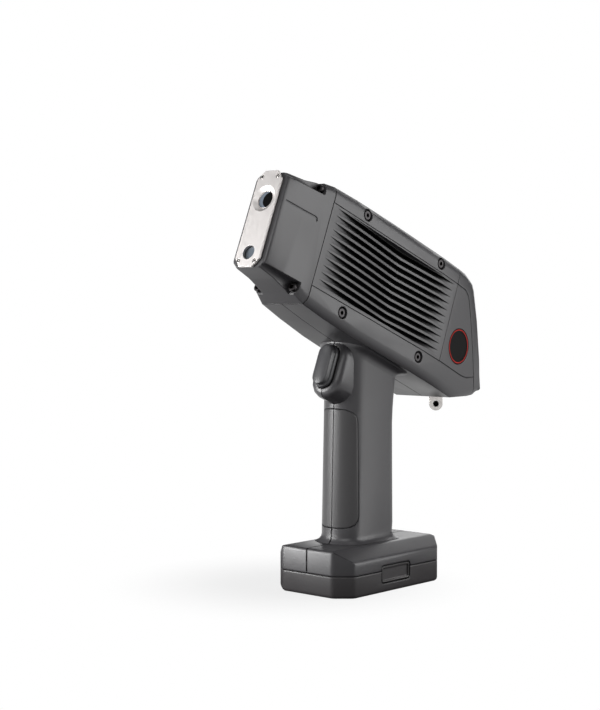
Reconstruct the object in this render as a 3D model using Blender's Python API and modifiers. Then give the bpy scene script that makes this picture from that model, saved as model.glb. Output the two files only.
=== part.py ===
"""Handheld X-ray fluorescence analyzer: a pistol-shaped instrument that stands on its battery foot.

The body is tilted nose up over an upright grip. Two moulded halves, a nose housing and a rear display
frame make the case; a finned heat sink sits in each side. Metres, +Z up, the nose points along -Y and
the origin is the centre of the foot's underside.
"""

import math

import bmesh
import bpy
from mathutils import Matrix, Vector

for old in list(bpy.data.objects):
    bpy.data.objects.remove(old, do_unlink=True)

MM = 0.001

# Clearances and walls
GAP = 0.3 * MM
WALL = 2.5 * MM
REACH = 60.0 * MM

# Place of the body's own axes, near the nose plate's centre, and how far the body tilts nose up
NOSE_Y = -95.7 * MM
NOSE_Z = 236.0 * MM
TILT = math.radians(22.25)

# Foot and battery base
FOOT_HALF_WIDTH = 31.9 * MM
FOOT_HALF_LENGTH = 52.8 * MM
FOOT_CORNER_X = 11.0 * MM
FOOT_CORNER_Y = 10.0 * MM
PARTING_Z = 14.0 * MM
FOOT_SHOULDER_Z = 22.4 * MM
FOOT_TOP_Z = 30.0 * MM
FOOT_TOP_HALF_WIDTH = 20.5 * MM
FOOT_WALL = 3.0 * MM
BASE_EDGE = 2.5 * MM
FOOT_EDGE = 2.0 * MM
FOOT_REAR_EDGE = 6.0 * MM
FOOT_CORNER_ROUND = 5.0 * MM
FOOT_SHOULDER_ROUND = 4.0 * MM

# Grip
GRIP_HALF_WIDTH = 16.0 * MM
GRIP_FRONT_Y = -27.6 * MM
GRIP_REAR_Y = 18.4 * MM
GRIP_ARCH = 13.0 * MM
GRIP_CORNER = 7.0 * MM
GRIP_FILLET = 5.0 * MM
GRIP_LEAN = 0.027
GRIP_MIDDLE_Z = 80.0 * MM
NECK_SWEEP = 13.0 * MM
NECK_START = -50.8 * MM
NECK_FILLET = 6.4 * MM
NECK_BACK = 2.6 * MM
NECK_Z = 140.0 * MM

# Rubber pads let into the front of the grip
PAD_TOP_Z = 117.0 * MM
PAD_BOTTOM_Z = 40.4 * MM
PAD_SIDE_Y = -19.6 * MM
PAD_CORNER = 8.0 * MM
PAD_THICKNESS = 2.0 * MM

# Battery well and stem inside the grip
WELL_HALF_WIDTH = 13.2 * MM
WELL_FRONT_Y = -16.0 * MM
WELL_REAR_Y = 13.0 * MM
WELL_TOP_Z = 119.5 * MM
WELL_CORNER = 3.0 * MM
CONTACT_HEIGHT = 4.0 * MM

# Battery latches on both sides of the foot
LATCH_Y = -2.0 * MM
LATCH_Z = 11.7 * MM
LATCH_HALF_LENGTH = 14.6 * MM
LATCH_HALF_HEIGHT = 5.5 * MM
LATCH_CORNER = 2.0 * MM
LATCH_DEPTH = 4.2 * MM
LATCH_TRAVEL = 2.0 * MM
LATCH_RIM = 1.6 * MM
LATCH_DISH = 0.9 * MM
LATCH_BORE = 2.4 * MM

# Body section along the tilted axis: (station, size) pairs
NOSE_SEAM = 38.2 * MM
BODY_END = 224.1 * MM
BODY_SIDE = ((38.2, 20.2), (95.0, 23.9), (150.0, 27.1), (170.0, 27.3), (224.1, 24.6))
BODY_TOP = ((38.2, 38.6), (60.0, 39.6), (100.0, 40.0), (178.0, 39.6), (186.4, 37.7), (189.9, 34.6),
            (202.3, 16.8), (215.9, -6.4), (222.9, -20.8), (224.1, -25.6))
BODY_BOTTOM = ((38.2, -40.2), (58.0, -42.0), (85.0, -43.5), (194.9, -44.6), (214.5, -36.6),
               (220.6, -33.4), (224.1, -29.6))
EDGE_IN = 3.2 * MM
EDGE_DOWN = 5.8 * MM

# Nose housing section, in the same way
NOSE_SIDE = ((0.7, 12.4), (1.2, 13.3), (2.4, 13.9), (19.0, 16.4), (38.2, 20.2))
NOSE_TOP = ((0.7, 31.0), (18.0, 34.0), (28.0, 37.0), (38.2, 38.6))
NOSE_BOTTOM = ((0.7, -31.4), (15.0, -32.8), (27.0, -35.5), (30.0, -36.8), (38.2, -40.2))
NOSE_EDGE_IN = ((0.7, 4.0), (38.2, 3.2))
NOSE_EDGE_DOWN = ((0.7, 4.4), (19.0, 4.6), (38.2, 5.8))
NOSE_FRONT_WALL = 3.0 * MM

# Nose plate with its window and camera holes
PLATE_START = -1.4 * MM
PLATE_HALF_WIDTH = 10.0 * MM
PLATE_HALF_HEIGHT = 32.0 * MM
PLATE_CORNER_X = 4.6 * MM
PLATE_CORNER_H = 5.6 * MM
PLATE_THICKNESS = 1.8 * MM
PLATE_BACK = PLATE_START + PLATE_THICKNESS
WINDOW_H = 13.1 * MM
WINDOW_RADIUS = 6.0 * MM
WINDOW_BEVEL = 2.6 * MM
CAMERA_H = -22.5 * MM
CAMERA_RADIUS = 4.6 * MM
CAMERA_SET_BACK = 2.2 * MM
GLASS_THICKNESS = 1.2 * MM
PLATE_SCREW_INSET_X = 3.35 * MM
PLATE_SCREW_INSET_H = 3.9 * MM
PLATE_SCREW_SINK = 1.0 * MM
PLATE_SCREW_HEAD = 1.45 * MM
PLATE_SCREW_LENGTH = 4.6 * MM

# Bolts that hold the nose on the body
NOSE_BOLT_X = 14.4 * MM
NOSE_BOLT_H = 33.0 * MM
NOSE_BOLT_SEAT = 30.2 * MM
NOSE_BOLT_HEAD = 2.75 * MM
NOSE_BOLT_POCKET = 3.6 * MM
NOSE_BOLT_LENGTH = 14.0 * MM
BOLT_WALL = 2.4 * MM
CHANNEL_RISE = 1.1 * MM
NOSE_LINE = ((3.5, 13.5), (27.6, 13.5), (29.0, 12.9), (29.4, 11.2))
NOSE_LINE_WIDTH = 0.8 * MM
NOSE_LINE_DEPTH = 0.4 * MM

# Screws through the side bands
SIDE_SCREW_STATIONS = (69.5 * MM, 147.0 * MM)
SIDE_SCREW_OUT = 5.65 * MM
SIDE_SCREW_HEAD = 2.95 * MM
SIDE_SCREW_SINK = 1.6 * MM
SIDE_COUNTERBORE = 4.0 * MM
SIDE_SCREW_LENGTH = 10.0 * MM
SCREW_SHANK = 1.5 * MM

# Heat sink in each side
SINK_TOP_H = 27.9 * MM
SINK_BOTTOM_H = -27.6 * MM
SINK_DEPTH = 11.0 * MM
SINK_LIP = 2.7 * MM
SINK_LIP_LENGTH = 2.6 * MM
GROOVE_COUNT = 11
GROOVE_PITCH = 4.78 * MM
GROOVE_WIDTH = 3.1 * MM
GROOVE_DEPTH = 4.6 * MM
GROOVE_START = 42.6 * MM
GROOVE_END = 165.0 * MM
SCOOP_DEPTH = 4.6 * MM
SCOOP_START = 50.0 * MM
SCOOP_MIDDLE = 113.0 * MM
SCOOP_END = 152.0 * MM

# Rear display frame and the plain side panels in front of it
REAR_SEAM = 168.8 * MM
REAR_LINE = ((184.6, 25.2), (193.0, 12.7), (203.7, -5.6), (212.9, -22.9))
PANEL_LOWER_LINE = ((204.6, -26.7), (197.2, -27.6))
STRIP_FOOT = (223.0, -45.0)
BADGE_S = 186.9 * MM
BADGE_H = -10.4 * MM
BADGE_RADIUS = 12.0 * MM
BADGE_DISH = 10.3 * MM
BADGE_THICKNESS = 0.9 * MM

# Display in the rear face, measured down that face from its top corner
SCREEN_TOP = (190.6, 33.6)
SCREEN_FOOT = (222.4, -21.6)
SCREEN_START = 5.0 * MM
SCREEN_LENGTH = 43.0 * MM
SCREEN_HALF_WIDTH = 19.0 * MM
SCREEN_BORDER = 2.4 * MM
SCREEN_GLASS = 1.3 * MM
MODULE_THICKNESS = 5.0 * MM
BUTTON_DOWN = 55.5 * MM
BUTTON_RADIUS = 3.6 * MM
BUTTON_TRAVEL = 0.8 * MM

# Trigger and the bow of the grip around it
TRIGGER_H = -61.0 * MM
TRIGGER_FRONT = 87.3 * MM
TRIGGER_HALF_WIDTH = 5.6 * MM
TRIGGER_HALF_LENGTH = 13.4 * MM
TRIGGER_TRAVEL = 3.5 * MM
TRIGGER_STEP = 1.1 * MM
TRIGGER_CROWN = 3.4 * MM
TRIGGER_FLANGE = 2.4 * MM
TRIGGER_REAR = 103.4 * MM
SPRING_BORE = 9.0 * MM
SPRING_UP = 7.0 * MM
BOW_FRONT = 93.4 * MM
BOW_RIM = 5.3 * MM
BOW_ROUND = 4.8 * MM
BOW_REAR = 124.0 * MM
BAY_REAR = 112.0 * MM

# Lanyard eye under the tail
EYE_Y = 83.0 * MM
EYE_Z = 115.0 * MM
EYE_RADIUS = 4.7 * MM
EYE_HOLE = 2.1 * MM
EYE_THICKNESS = 3.0 * MM
EYE_TURN = math.radians(41.84)
EYE_STEM = 2.0 * MM
EYE_POCKET_X = 10.0 * MM
EYE_POCKET_Y = 9.5 * MM
EYE_POCKET_Z = 126.5 * MM

# Measuring head inside the nose
NOSE_BLOCK_END = 19.6 * MM
WHEEL_H = 2.5 * MM
WHEEL_RADIUS = 13.1 * MM
WHEEL_START = 20.3 * MM
WHEEL_THICKNESS = 2.0 * MM
WHEEL_HOLES = 6
FILTER_RADIUS = 2.0 * MM
MOTOR_RADIUS = 3.3 * MM
MOTOR_LENGTH = 17.0 * MM
MOTOR_SHAFT = 1.0 * MM
BEAM_RADIUS = 3.0 * MM
TUBE_RADIUS = 6.9 * MM
TUBE_END = 66.0 * MM
DETECTOR_RADIUS = 3.2 * MM
DETECTOR_LENGTH = 9.5 * MM
SUPPLY_LENGTH = 46.0 * MM
BOARD_LENGTH = 50.0 * MM
BOARD_THICKNESS = 1.6 * MM

# Colours: linear red, green, blue, then metallic and roughness
FINISHES = {
    "housing_grey": ((0.085, 0.084, 0.086), 0.0, 0.45),
    "base_grey": ((0.055, 0.054, 0.056), 0.0, 0.6),
    "rubber_grey": ((0.045, 0.045, 0.047), 0.0, 0.75),
    "sink_grey": ((0.10, 0.099, 0.10), 0.4, 0.45),
    "stainless": ((0.62, 0.60, 0.57), 1.0, 0.3),
    "dark_steel": ((0.12, 0.12, 0.125), 1.0, 0.35),
    "window_glass": ((0.03, 0.035, 0.04), 0.0, 0.08),
    "badge_black": ((0.012, 0.011, 0.012), 0.0, 0.3),
    "block_aluminium": ((0.55, 0.56, 0.57), 1.0, 0.4),
    "tube_brass": ((0.55, 0.42, 0.2), 1.0, 0.35),
    "board_green": ((0.02, 0.12, 0.05), 0.0, 0.5),
    "cell_blue": ((0.03, 0.05, 0.12), 0.0, 0.5),
}

# Stations and sizes in the tables above are millimetres
def table(pairs):
    return [(station * MM, size * MM) for station, size in pairs]


def read(pairs, station):
    """The table's value at a station, straight between its rows and flat past its ends."""
    if station <= pairs[0][0]:
        return pairs[0][1]
    for (s0, v0), (s1, v1) in zip(pairs, pairs[1:]):
        if station <= s1:
            return v0 + (v1 - v0) * (station - s0) / (s1 - s0)
    return pairs[-1][1]


def offset_line(points, distance, closed=False):
    """A line moved to its left by a distance, with mitred corners."""
    count = len(points)
    moved = []
    for index in range(count):
        here = Vector(points[index])
        before = Vector(points[index - 1]) if closed or index else None
        after = Vector(points[(index + 1) % count]) if closed or index < count - 1 else None
        first = (here - before).normalized() if before is not None else None
        second = (after - here).normalized() if after is not None else first
        first = second if first is None else first
        normal = Vector((-first.y, first.x)) + Vector((-second.y, second.x))
        normal.normalize()
        share = normal.dot(Vector((-first.y, first.x)))
        moved.append(tuple(here + normal * (distance / max(share, 0.3))))
    return moved


def rounded(points, radius, steps=4):
    """A closed outline with every corner turned into an arc."""
    outline = []
    count = len(points)
    for index in range(count):
        corner = Vector(points[index])
        back = Vector(points[index - 1]) - corner
        on = Vector(points[(index + 1) % count]) - corner
        half_angle = back.angle(on) / 2
        reach = min(radius / math.tan(half_angle), back.length * 0.48, on.length * 0.48)
        arc = reach * math.tan(half_angle)
        middle = corner + (back.normalized() + on.normalized()).normalized() * (arc / math.sin(half_angle))
        start = corner + back.normalized() * reach - middle
        end = corner + on.normalized() * reach - middle
        turn = start.angle_signed(end)
        for step in range(steps + 1):
            outline.append(tuple(middle + Matrix.Rotation(-turn * step / steps, 2) @ start))
    return outline


def stadium(half_width, half_length, middle, steps=8):
    """An outline with straight sides and half-round ends, long along its second axis."""
    points = []
    for end in (1, -1):
        for step in range(steps + 1):
            angle = math.pi * step / steps if end > 0 else math.pi + math.pi * step / steps
            points.append((half_width * math.cos(angle),
                           middle + end * (half_length - half_width) + half_width * math.sin(angle)))
    return points


# Collections, the tilted body frame and the materials
parts = bpy.data.collections.new("xrf_analyzer")
cutters = bpy.data.collections.new("cutters")
for collection in (parts, cutters):
    bpy.context.scene.collection.children.link(collection)

body_frame = bpy.data.objects.new("body_frame", None)
body_frame.location = (0, NOSE_Y, NOSE_Z)
body_frame.rotation_euler = (-TILT, 0, 0)
parts.objects.link(body_frame)


def finish(name):
    material = bpy.data.materials.get(name)
    if material is None:
        colour, metallic, roughness = FINISHES[name]
        material = bpy.data.materials.new(name)
        material.use_nodes = True
        shader = material.node_tree.nodes["Principled BSDF"]
        shader.inputs["Base Color"].default_value = (*colour, 1)
        shader.inputs["Metallic"].default_value = metallic
        shader.inputs["Roughness"].default_value = roughness
    return material


def add(name, mesh, look=None, tilted=True):
    """An object for a mesh: a part when it has a look, else a hidden cutter."""
    obj = bpy.data.objects.new(name, mesh)
    if look:
        parts.objects.link(obj)
        mesh.materials.append(finish(look))
    else:
        cutters.objects.link(obj)
        obj.hide_render = True
        obj.display_type = "WIRE"
    if tilted:
        obj.parent = body_frame
    return obj


def mesh_from(bm, name):
    bmesh.ops.remove_doubles(bm, verts=bm.verts, dist=1e-7)
    bmesh.ops.recalc_face_normals(bm, faces=bm.faces)
    mesh = bpy.data.meshes.new(name)
    bm.to_mesh(mesh)
    bm.free()
    return mesh


def box(name, low, high, look=None, tilted=True):
    bm = bmesh.new()
    bmesh.ops.create_cube(bm, size=1)
    for vert in bm.verts:
        vert.co = [low[i] + (high[i] - low[i]) * (vert.co[i] + 0.5) for i in range(3)]
    return add(name, mesh_from(bm, name), look, tilted)


def cylinder(name, radius, start, end, look=None, tilted=True, end_radius=None, sides=24):
    """A round bar or cone between two points."""
    start, end = Vector(start), Vector(end)
    bm = bmesh.new()
    bmesh.ops.create_cone(bm, cap_ends=True, segments=sides, radius1=radius,
                          radius2=radius if end_radius is None else end_radius,
                          depth=(end - start).length)
    obj = add(name, mesh_from(bm, name), look, tilted)
    obj.location = (start + end) / 2
    obj.rotation_euler = (end - start).to_track_quat("Z", "Y").to_euler()
    return obj


PLANES = {
    "side": Matrix(((0, 0, 1), (1, 0, 0), (0, 1, 0))),
    "front": Matrix(((1, 0, 0), (0, 0, -1), (0, 1, 0))),
    "flat": Matrix.Identity(3),
}


def slab(name, outline, low, high, plane, look=None, tilted=True):
    """A flat outline given a thickness: side is station by height, front is width by height."""
    curve = bpy.data.curves.new(name, "CURVE")
    curve.dimensions = "2D"
    curve.fill_mode = "BOTH"
    curve.extrude = (high - low) / 2
    spline = curve.splines.new("POLY")
    spline.points.add(len(outline) - 1)
    for point, place in zip(spline.points, outline):
        point.co = (place[0], place[1], 0, 1)
    spline.use_cyclic_u = True
    guide = bpy.data.objects.new(name + "_outline", curve)
    cutters.objects.link(guide)
    bpy.context.view_layer.update()
    graph = bpy.context.evaluated_depsgraph_get()
    mesh = bpy.data.meshes.new_from_object(guide.evaluated_get(graph))
    bpy.data.objects.remove(guide)
    bm = bmesh.new()
    bm.from_mesh(mesh)
    obj = add(name, mesh_from(bm, name), look, tilted)
    turn = PLANES[plane]
    obj.location = turn @ Vector((0, 0, 1)) * ((low + high) / 2) * (-1 if plane == "front" else 1)
    obj.rotation_euler = turn.to_euler()
    return obj


def turned(name, profile, start, direction, look=None, tilted=True, steps=24):
    """A profile of (radius, distance) pairs turned round an axis, its first point at the far end."""
    bm = bmesh.new()
    verts = [bm.verts.new((radius, 0, along)) for radius, along in profile]
    for first, second in zip(verts, verts[1:]):
        bm.edges.new((first, second))
    mesh = bpy.data.meshes.new(name)
    bm.to_mesh(mesh)
    bm.free()
    obj = add(name, mesh, look, tilted)
    screw = obj.modifiers.new("turn", "SCREW")
    screw.steps = steps
    screw.render_steps = steps
    screw.use_merge_vertices = True
    screw.merge_threshold = 1e-5
    obj.location = start
    obj.rotation_euler = Vector(direction).to_track_quat("Z", "Y").to_euler()
    return obj


def loft(name, rings, look=None, tilted=True):
    """Skin over closed rings of equal counts, with its two ends capped."""
    bm = bmesh.new()
    rows = [[bm.verts.new(point) for point in ring] for ring in rings]
    count = len(rows[0])
    for lower, upper in zip(rows, rows[1:]):
        for index in range(count):
            after = (index + 1) % count
            bm.faces.new((lower[index], lower[after], upper[after], upper[index]))
    bm.faces.new(rows[0][::-1])
    bm.faces.new(rows[-1])
    return add(name, mesh_from(bm, name), look, tilted)


def boolean(obj, other, operation="DIFFERENCE"):
    modifier = obj.modifiers.new(other.name, "BOOLEAN")
    modifier.operation = operation
    modifier.object = other
    return obj


def cut(obj, *others):
    for other in others:
        boolean(obj, other)
    return obj


def join(obj, *others):
    for other in others:
        boolean(obj, other, "UNION")
    return obj


def bevel(obj, width, segments=2, angle=40):
    modifier = obj.modifiers.new("soft_edges", "BEVEL")
    modifier.width = width
    modifier.segments = segments
    modifier.limit_method = "ANGLE"
    modifier.angle_limit = math.radians(angle)
    return obj


def mirrored(source, name):
    """The same piece for the other side, with its origin mirrored too."""
    bpy.context.view_layer.update()
    graph = bpy.context.evaluated_depsgraph_get()
    mesh = bpy.data.meshes.new_from_object(source.evaluated_get(graph))
    place = source.matrix_world.translation.copy()
    place.x = -place.x
    flip = Matrix.Diagonal((-1, 1, 1, 1))
    mesh.transform(Matrix.Translation(-place) @ flip @ source.matrix_world)
    mesh.flip_normals()
    obj = bpy.data.objects.new(name, mesh)
    obj.location = place
    parts.objects.link(obj)
    return obj


# Body frame coordinates are x, station along the body and height above its axis
def height_at(station_height, y):
    """World height at y of the body-frame plane with this height above the axis."""
    return NOSE_Z + (station_height - (y - NOSE_Y) * math.sin(TILT)) / math.cos(TILT)


SIDE = table(BODY_SIDE)
TOP = table(BODY_TOP)
BOTTOM = table(BODY_BOTTOM)


def section(station, side, top, bottom, edge_in, edge_down):
    """One eight-sided ring of the case, its corners eased by a shallow bend."""
    down = min(edge_down, (top - bottom) * 0.45)
    bend_in, bend_down = edge_in * 0.22, down * 0.5
    quarter = [(side - edge_in, 0), (side - bend_in, bend_down), (side, down)]
    right = [(x, station, top - d) for x, d in quarter] + [(x, station, bottom + d) for x, d in quarter[::-1]]
    return right + [(-x, s, h) for x, s, h in right[::-1]]


def body_rings(inset, start, end):
    """Rings of the main body, its skin moved inwards by the inset."""
    top = offset_line(TOP, -inset)
    bottom = offset_line(BOTTOM, inset)
    tail = end
    while read(top, tail) - read(bottom, tail) < 2.2 * MM:
        tail -= 0.5 * MM
    stations = {start, tail}
    for row in top + bottom + SIDE:
        if start < row[0] < tail:
            stations.add(row[0])
    ease = 1 if inset == 0 else 0.6
    return [section(s, read(SIDE, s) - inset, read(top, s), read(bottom, s), EDGE_IN * ease, EDGE_DOWN * ease)
            for s in sorted(stations)]


def nose_rings(inset, start, end):
    side, top, bottom = table(NOSE_SIDE), table(NOSE_TOP), table(NOSE_BOTTOM)
    edge_in, edge_down = table(NOSE_EDGE_IN), table(NOSE_EDGE_DOWN)
    stations = {start, end}
    for row in side + top + bottom:
        if start < row[0] < end:
            stations.add(row[0])
    ease = 1 if inset == 0 else 0.7
    return [section(s, read(side, s) - inset, read(top, s) - inset, read(bottom, s) + inset,
                    read(edge_in, s) * ease, read(edge_down, s) * ease) for s in sorted(stations)]


# Outlines in the side view, shared by the case openings and the pieces that fill them
SINK_OUTLINE = [(NOSE_SEAM, SINK_BOTTOM_H), (REAR_SEAM, SINK_BOTTOM_H), (REAR_SEAM, SINK_TOP_H),
                (NOSE_SEAM, SINK_TOP_H)]
REAR_EDGE = table(REAR_LINE)
PANEL_OUTLINE = ([(REAR_SEAM, SINK_BOTTOM_H)] + table(PANEL_LOWER_LINE)[::-1] + REAR_EDGE[::-1]
                 + [(179.4 * MM, SINK_TOP_H), (REAR_SEAM, SINK_TOP_H)])
FRAME_LINE = ([(REAR_SEAM, REACH), (REAR_SEAM, SINK_TOP_H), (179.4 * MM, SINK_TOP_H)] + REAR_EDGE
              + [(STRIP_FOOT[0] * MM, STRIP_FOOT[1] * MM)])
FAR = (240 * MM, REACH)


def frame_region(shift):
    """Everything behind and above the frame's joint line, moved forwards by the shift."""
    line = offset_line(FRAME_LINE, -shift)
    return line + [(FAR[0], line[-1][1]), FAR]


def skin_piece(name, outline, depth, look):
    """A piece of the body's side, as thick as the depth, inside an outline that leaves half a gap all round."""
    piece = loft(name, body_rings(0, NOSE_SEAM + GAP / 2, BODY_END), look)
    region = slab(name + "_region", offset_line(outline, GAP / 2, closed=True), 0.2 * MM, REACH, "side")
    boolean(piece, region, "INTERSECT")
    inner = loft(name + "_inside", body_rings(depth, NOSE_SEAM - 5 * MM, BODY_END))
    return cut(piece, inner)


# Grip: rings from inside the foot to inside the body
def grip_outline(z, grow, front_grow, rear_grow, inset=0.0):
    """One level outline: an arched front that leans back a little as it rises, and a rounded rear."""
    lean = (z - GRIP_MIDDLE_Z) * GRIP_LEAN
    half = GRIP_HALF_WIDTH + grow - inset
    front = GRIP_FRONT_Y + lean - front_grow + inset
    rear = GRIP_REAR_Y + rear_grow - inset
    corner = GRIP_CORNER - inset
    shoulder = GRIP_FRONT_Y + lean + GRIP_ARCH - front_grow
    points = []
    for step in range(7):
        angle = math.pi / 2 * step / 6
        points.append((half * math.sin(angle), shoulder - (shoulder - front) * math.cos(angle)))
    for step in range(5):
        angle = math.pi / 2 * step / 4
        points.append((half - corner + corner * math.cos(angle), rear - corner + corner * math.sin(angle)))
    return points + [(-x, y) for x, y in points[:0:-1]]


def grip_rings(inset=0.0, low=None, high=None):
    """Level rings up the grip, then rings that lean with the body where the neck sweeps into it."""
    rings = []
    foot_sweep = [(FOOT_TOP_Z - 4 * MM, 1.0)]
    for step in range(1, 5):
        angle = math.pi / 2 * step / 4
        foot_sweep.append((FOOT_TOP_Z + GRIP_FILLET * (1 - math.cos(angle)), 1 - math.sin(angle)))
    for z, share in foot_sweep:
        grow = GRIP_FILLET * share
        rings.append([(x, y, z) for x, y in grip_outline(z, grow, grow * 0.8, grow * 1.2, inset)])
    for z, back in ((PAD_BOTTOM_Z, 0.6), (78 * MM, 0.2), (106 * MM, 0.0), (116 * MM, 0.6)):
        rings.append([(x, y, z) for x, y in grip_outline(z, 0, 0, back * MM, inset)])
    for step in range(6):
        angle = math.pi / 2 * step / 5
        level = NECK_START + NECK_FILLET * math.sin(angle) + (3 * MM if step == 5 else 0)
        spread = 1 - math.cos(angle)
        back = NECK_BACK + (NECK_SWEEP - NECK_BACK) * spread
        outline = grip_outline(NECK_Z, NECK_FILLET * 0.95 * spread, 0, back, inset)
        rings.append([(x, y, height_at(level, y)) for x, y in outline])
    return rings


# Bow of the grip that carries the trigger: a round-ended block with a rounded front edge
def trigger_outline(grow, steps=8):
    """The trigger's round-ended outline, grown by a distance all round."""
    return stadium(TRIGGER_HALF_WIDTH + grow, TRIGGER_HALF_LENGTH + grow, TRIGGER_H, steps)


def trigger_bow():
    rings = []
    for step in range(5):
        angle = math.pi / 2 * step / 4
        station = BOW_FRONT + BOW_ROUND * (1 - math.cos(angle))
        grow = TRIGGER_STEP + GAP + BOW_RIM - BOW_ROUND * (1 - math.sin(angle))
        rings.append([(x, station, h) for x, h in trigger_outline(grow)])
    full = trigger_outline(TRIGGER_STEP + GAP + BOW_RIM)
    rings.append([(x, BOW_REAR, h) for x, h in full])
    return loft("trigger_bow", rings)


# Foot of the case and the battery base share one outline
def foot_outline(inset=0.0):
    half_x, half_y = FOOT_HALF_WIDTH - inset, FOOT_HALF_LENGTH - inset
    corner_x, corner_y = FOOT_CORNER_X - inset / 2, FOOT_CORNER_Y - inset / 2
    quarter = [(half_x, half_y - corner_y), (half_x - corner_x, half_y)]
    return (quarter + [(-x, y) for x, y in quarter[::-1]] + [(-x, -y) for x, y in quarter]
            + [(x, -y) for x, y in quarter[::-1]])


def foot_shape(name, low, inset=0.0):
    """The foot's outline under a roof that slopes down to both sides, or the room inside it."""
    block = slab(name, soft_foot_outline(inset), low, FOOT_TOP_Z - inset, "flat", tilted=False)
    rise = (FOOT_TOP_Z - FOOT_SHOULDER_Z) / (FOOT_HALF_WIDTH - FOOT_TOP_HALF_WIDTH)
    drop = inset * math.hypot(1, rise)
    out = FOOT_HALF_WIDTH - inset
    eave = FOOT_SHOULDER_Z - drop + inset * rise
    ridge_half = FOOT_TOP_HALF_WIDTH - (drop - inset) / rise
    half = [(out, -1 * MM), (out, eave), (ridge_half, FOOT_TOP_Z - inset)]
    slope = rounded(half + [(-x, z) for x, z in half[::-1]], FOOT_SHOULDER_ROUND - inset / 2, 3)
    roof = slab(name + "_roof", slope, -REACH, REACH, "front", tilted=False)
    boolean(block, roof, "INTERSECT")
    if inset:
        return block
    length, floor = FOOT_HALF_LENGTH, -20 * MM
    profile = [(length, floor), (length, FOOT_TOP_Z), (-length, FOOT_TOP_Z), (-length, floor)]
    rear = [point for point in rounded(profile, FOOT_REAR_EDGE, 5) if point[0] > 0]
    ends = rear + [point for point in rounded(profile, FOOT_EDGE, 3) if point[0] < 0]
    return boolean(block, slab(name + "_ends", ends, -REACH, REACH, "side", tilted=False), "INTERSECT")


def soft_foot_outline(inset=0.0):
    return rounded(foot_outline(inset), FOOT_CORNER_ROUND - inset / 2, 3)


def well_outline(clearance=0.0):
    half = WELL_HALF_WIDTH - clearance
    front, rear = WELL_FRONT_Y + clearance, WELL_REAR_Y - clearance
    return rounded([(half, front), (half, rear), (-half, rear), (-half, front)], WELL_CORNER, 3)


def latch_outline(clearance=0.0):
    half_y, half_z = LATCH_HALF_LENGTH + clearance, LATCH_HALF_HEIGHT + clearance
    corners = [(LATCH_Y - half_y, LATCH_Z - half_z), (LATCH_Y + half_y, LATCH_Z - half_z),
               (LATCH_Y + half_y, LATCH_Z + half_z), (LATCH_Y - half_y, LATCH_Z + half_z)]
    return rounded(corners, LATCH_CORNER + clearance, 3)


def latch_pocket():
    """The room that a latch slides in, as deep as the latch and its travel."""
    floor = FOOT_HALF_WIDTH - LATCH_DEPTH - LATCH_TRAVEL - 2 * GAP
    return slab("latch_pocket", latch_outline(GAP), floor, FOOT_HALF_WIDTH + 5 * MM, "side", tilted=False)


def screw_part(name, head_radius, head_height, length, seat, direction, look, sides=16):
    """A socket-head screw: seat is under the head, direction points from the seat out of the head."""
    hex_radius = head_radius * 0.55
    profile = [(0, head_height), (head_radius * 0.88, head_height), (head_radius, head_height * 0.85),
               (head_radius, 0), (SHANK_SHARE * head_radius, 0), (SHANK_SHARE * head_radius, -length), (0, -length)]
    screw = turned(name, profile, seat, direction, look, steps=sides)
    outward = Vector(direction).normalized()
    top = Vector(seat) + outward * (head_height + 1 * MM)
    socket = cylinder(name + "_socket", hex_radius, Vector(seat) + outward * head_height * 0.45, top, sides=6)
    return cut(screw, socket)


SHANK_SHARE = 0.52


def nose_plate():
    half, tall = PLATE_HALF_WIDTH, PLATE_HALF_HEIGHT
    cut_x, cut_h = PLATE_CORNER_X, PLATE_CORNER_H
    quarter = [(half, tall - cut_h), (half - cut_x, tall)]
    outline = (quarter + [(-x, h) for x, h in quarter[::-1]] + [(-x, -h) for x, h in quarter]
               + [(x, -h) for x, h in quarter[::-1]])
    plate = slab("nose_plate", outline, PLATE_START, PLATE_BACK, "front", "stainless")
    bevel(plate, 0.3 * MM, 1, 60)
    before, behind = PLATE_START - 1 * MM, PLATE_BACK + 1 * MM
    hole = cylinder("window_hole", WINDOW_RADIUS, (0, before, WINDOW_H), (0, behind, WINDOW_H), sides=32)
    bevel_end = PLATE_BACK - 0.2 * MM
    slope = WINDOW_BEVEL / (bevel_end - PLATE_START)
    mouth = cylinder("window_bevel", WINDOW_RADIUS + WINDOW_BEVEL + slope * 1 * MM, (0, before, WINDOW_H),
                     (0, bevel_end, WINDOW_H), end_radius=WINDOW_RADIUS, sides=32)
    camera = cylinder("camera_hole", CAMERA_RADIUS, (0, before, CAMERA_H), (0, behind, CAMERA_H), sides=28)
    cut(plate, hole, mouth, camera)
    for number, (x, h) in enumerate(plate_screw_places()):
        sink = PLATE_SCREW_HEAD + GAP / 2
        cut(plate, cylinder(f"plate_sink_{number}", sink, (x, before, h), (x, PLATE_START + PLATE_SCREW_SINK, h),
                            sides=16),
            cylinder(f"plate_bore_{number}", SHANK_SHARE * PLATE_SCREW_HEAD + GAP / 2, (x, PLATE_START, h),
                     (x, behind, h), sides=12))
    return plate


def plate_screw_places():
    x, h = PLATE_HALF_WIDTH - PLATE_SCREW_INSET_X, PLATE_HALF_HEIGHT - PLATE_SCREW_INSET_H
    return [(x, h), (-x, h), (x, -h), (-x, -h)]


def plate_screws():
    seat = PLATE_START + PLATE_SCREW_SINK - GAP / 2
    for number, (x, h) in enumerate(plate_screw_places()):
        screw_part(f"nose_plate_screw_{number + 1}", PLATE_SCREW_HEAD, PLATE_SCREW_SINK - GAP,
                   PLATE_START + PLATE_SCREW_LENGTH - seat, (x, seat, h), (0, -1, 0), "dark_steel", 10)


def bolt_places():
    return [(x, h) for h in (NOSE_BOLT_H, -NOSE_BOLT_H) for x in (NOSE_BOLT_X, -NOSE_BOLT_X)]


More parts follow.
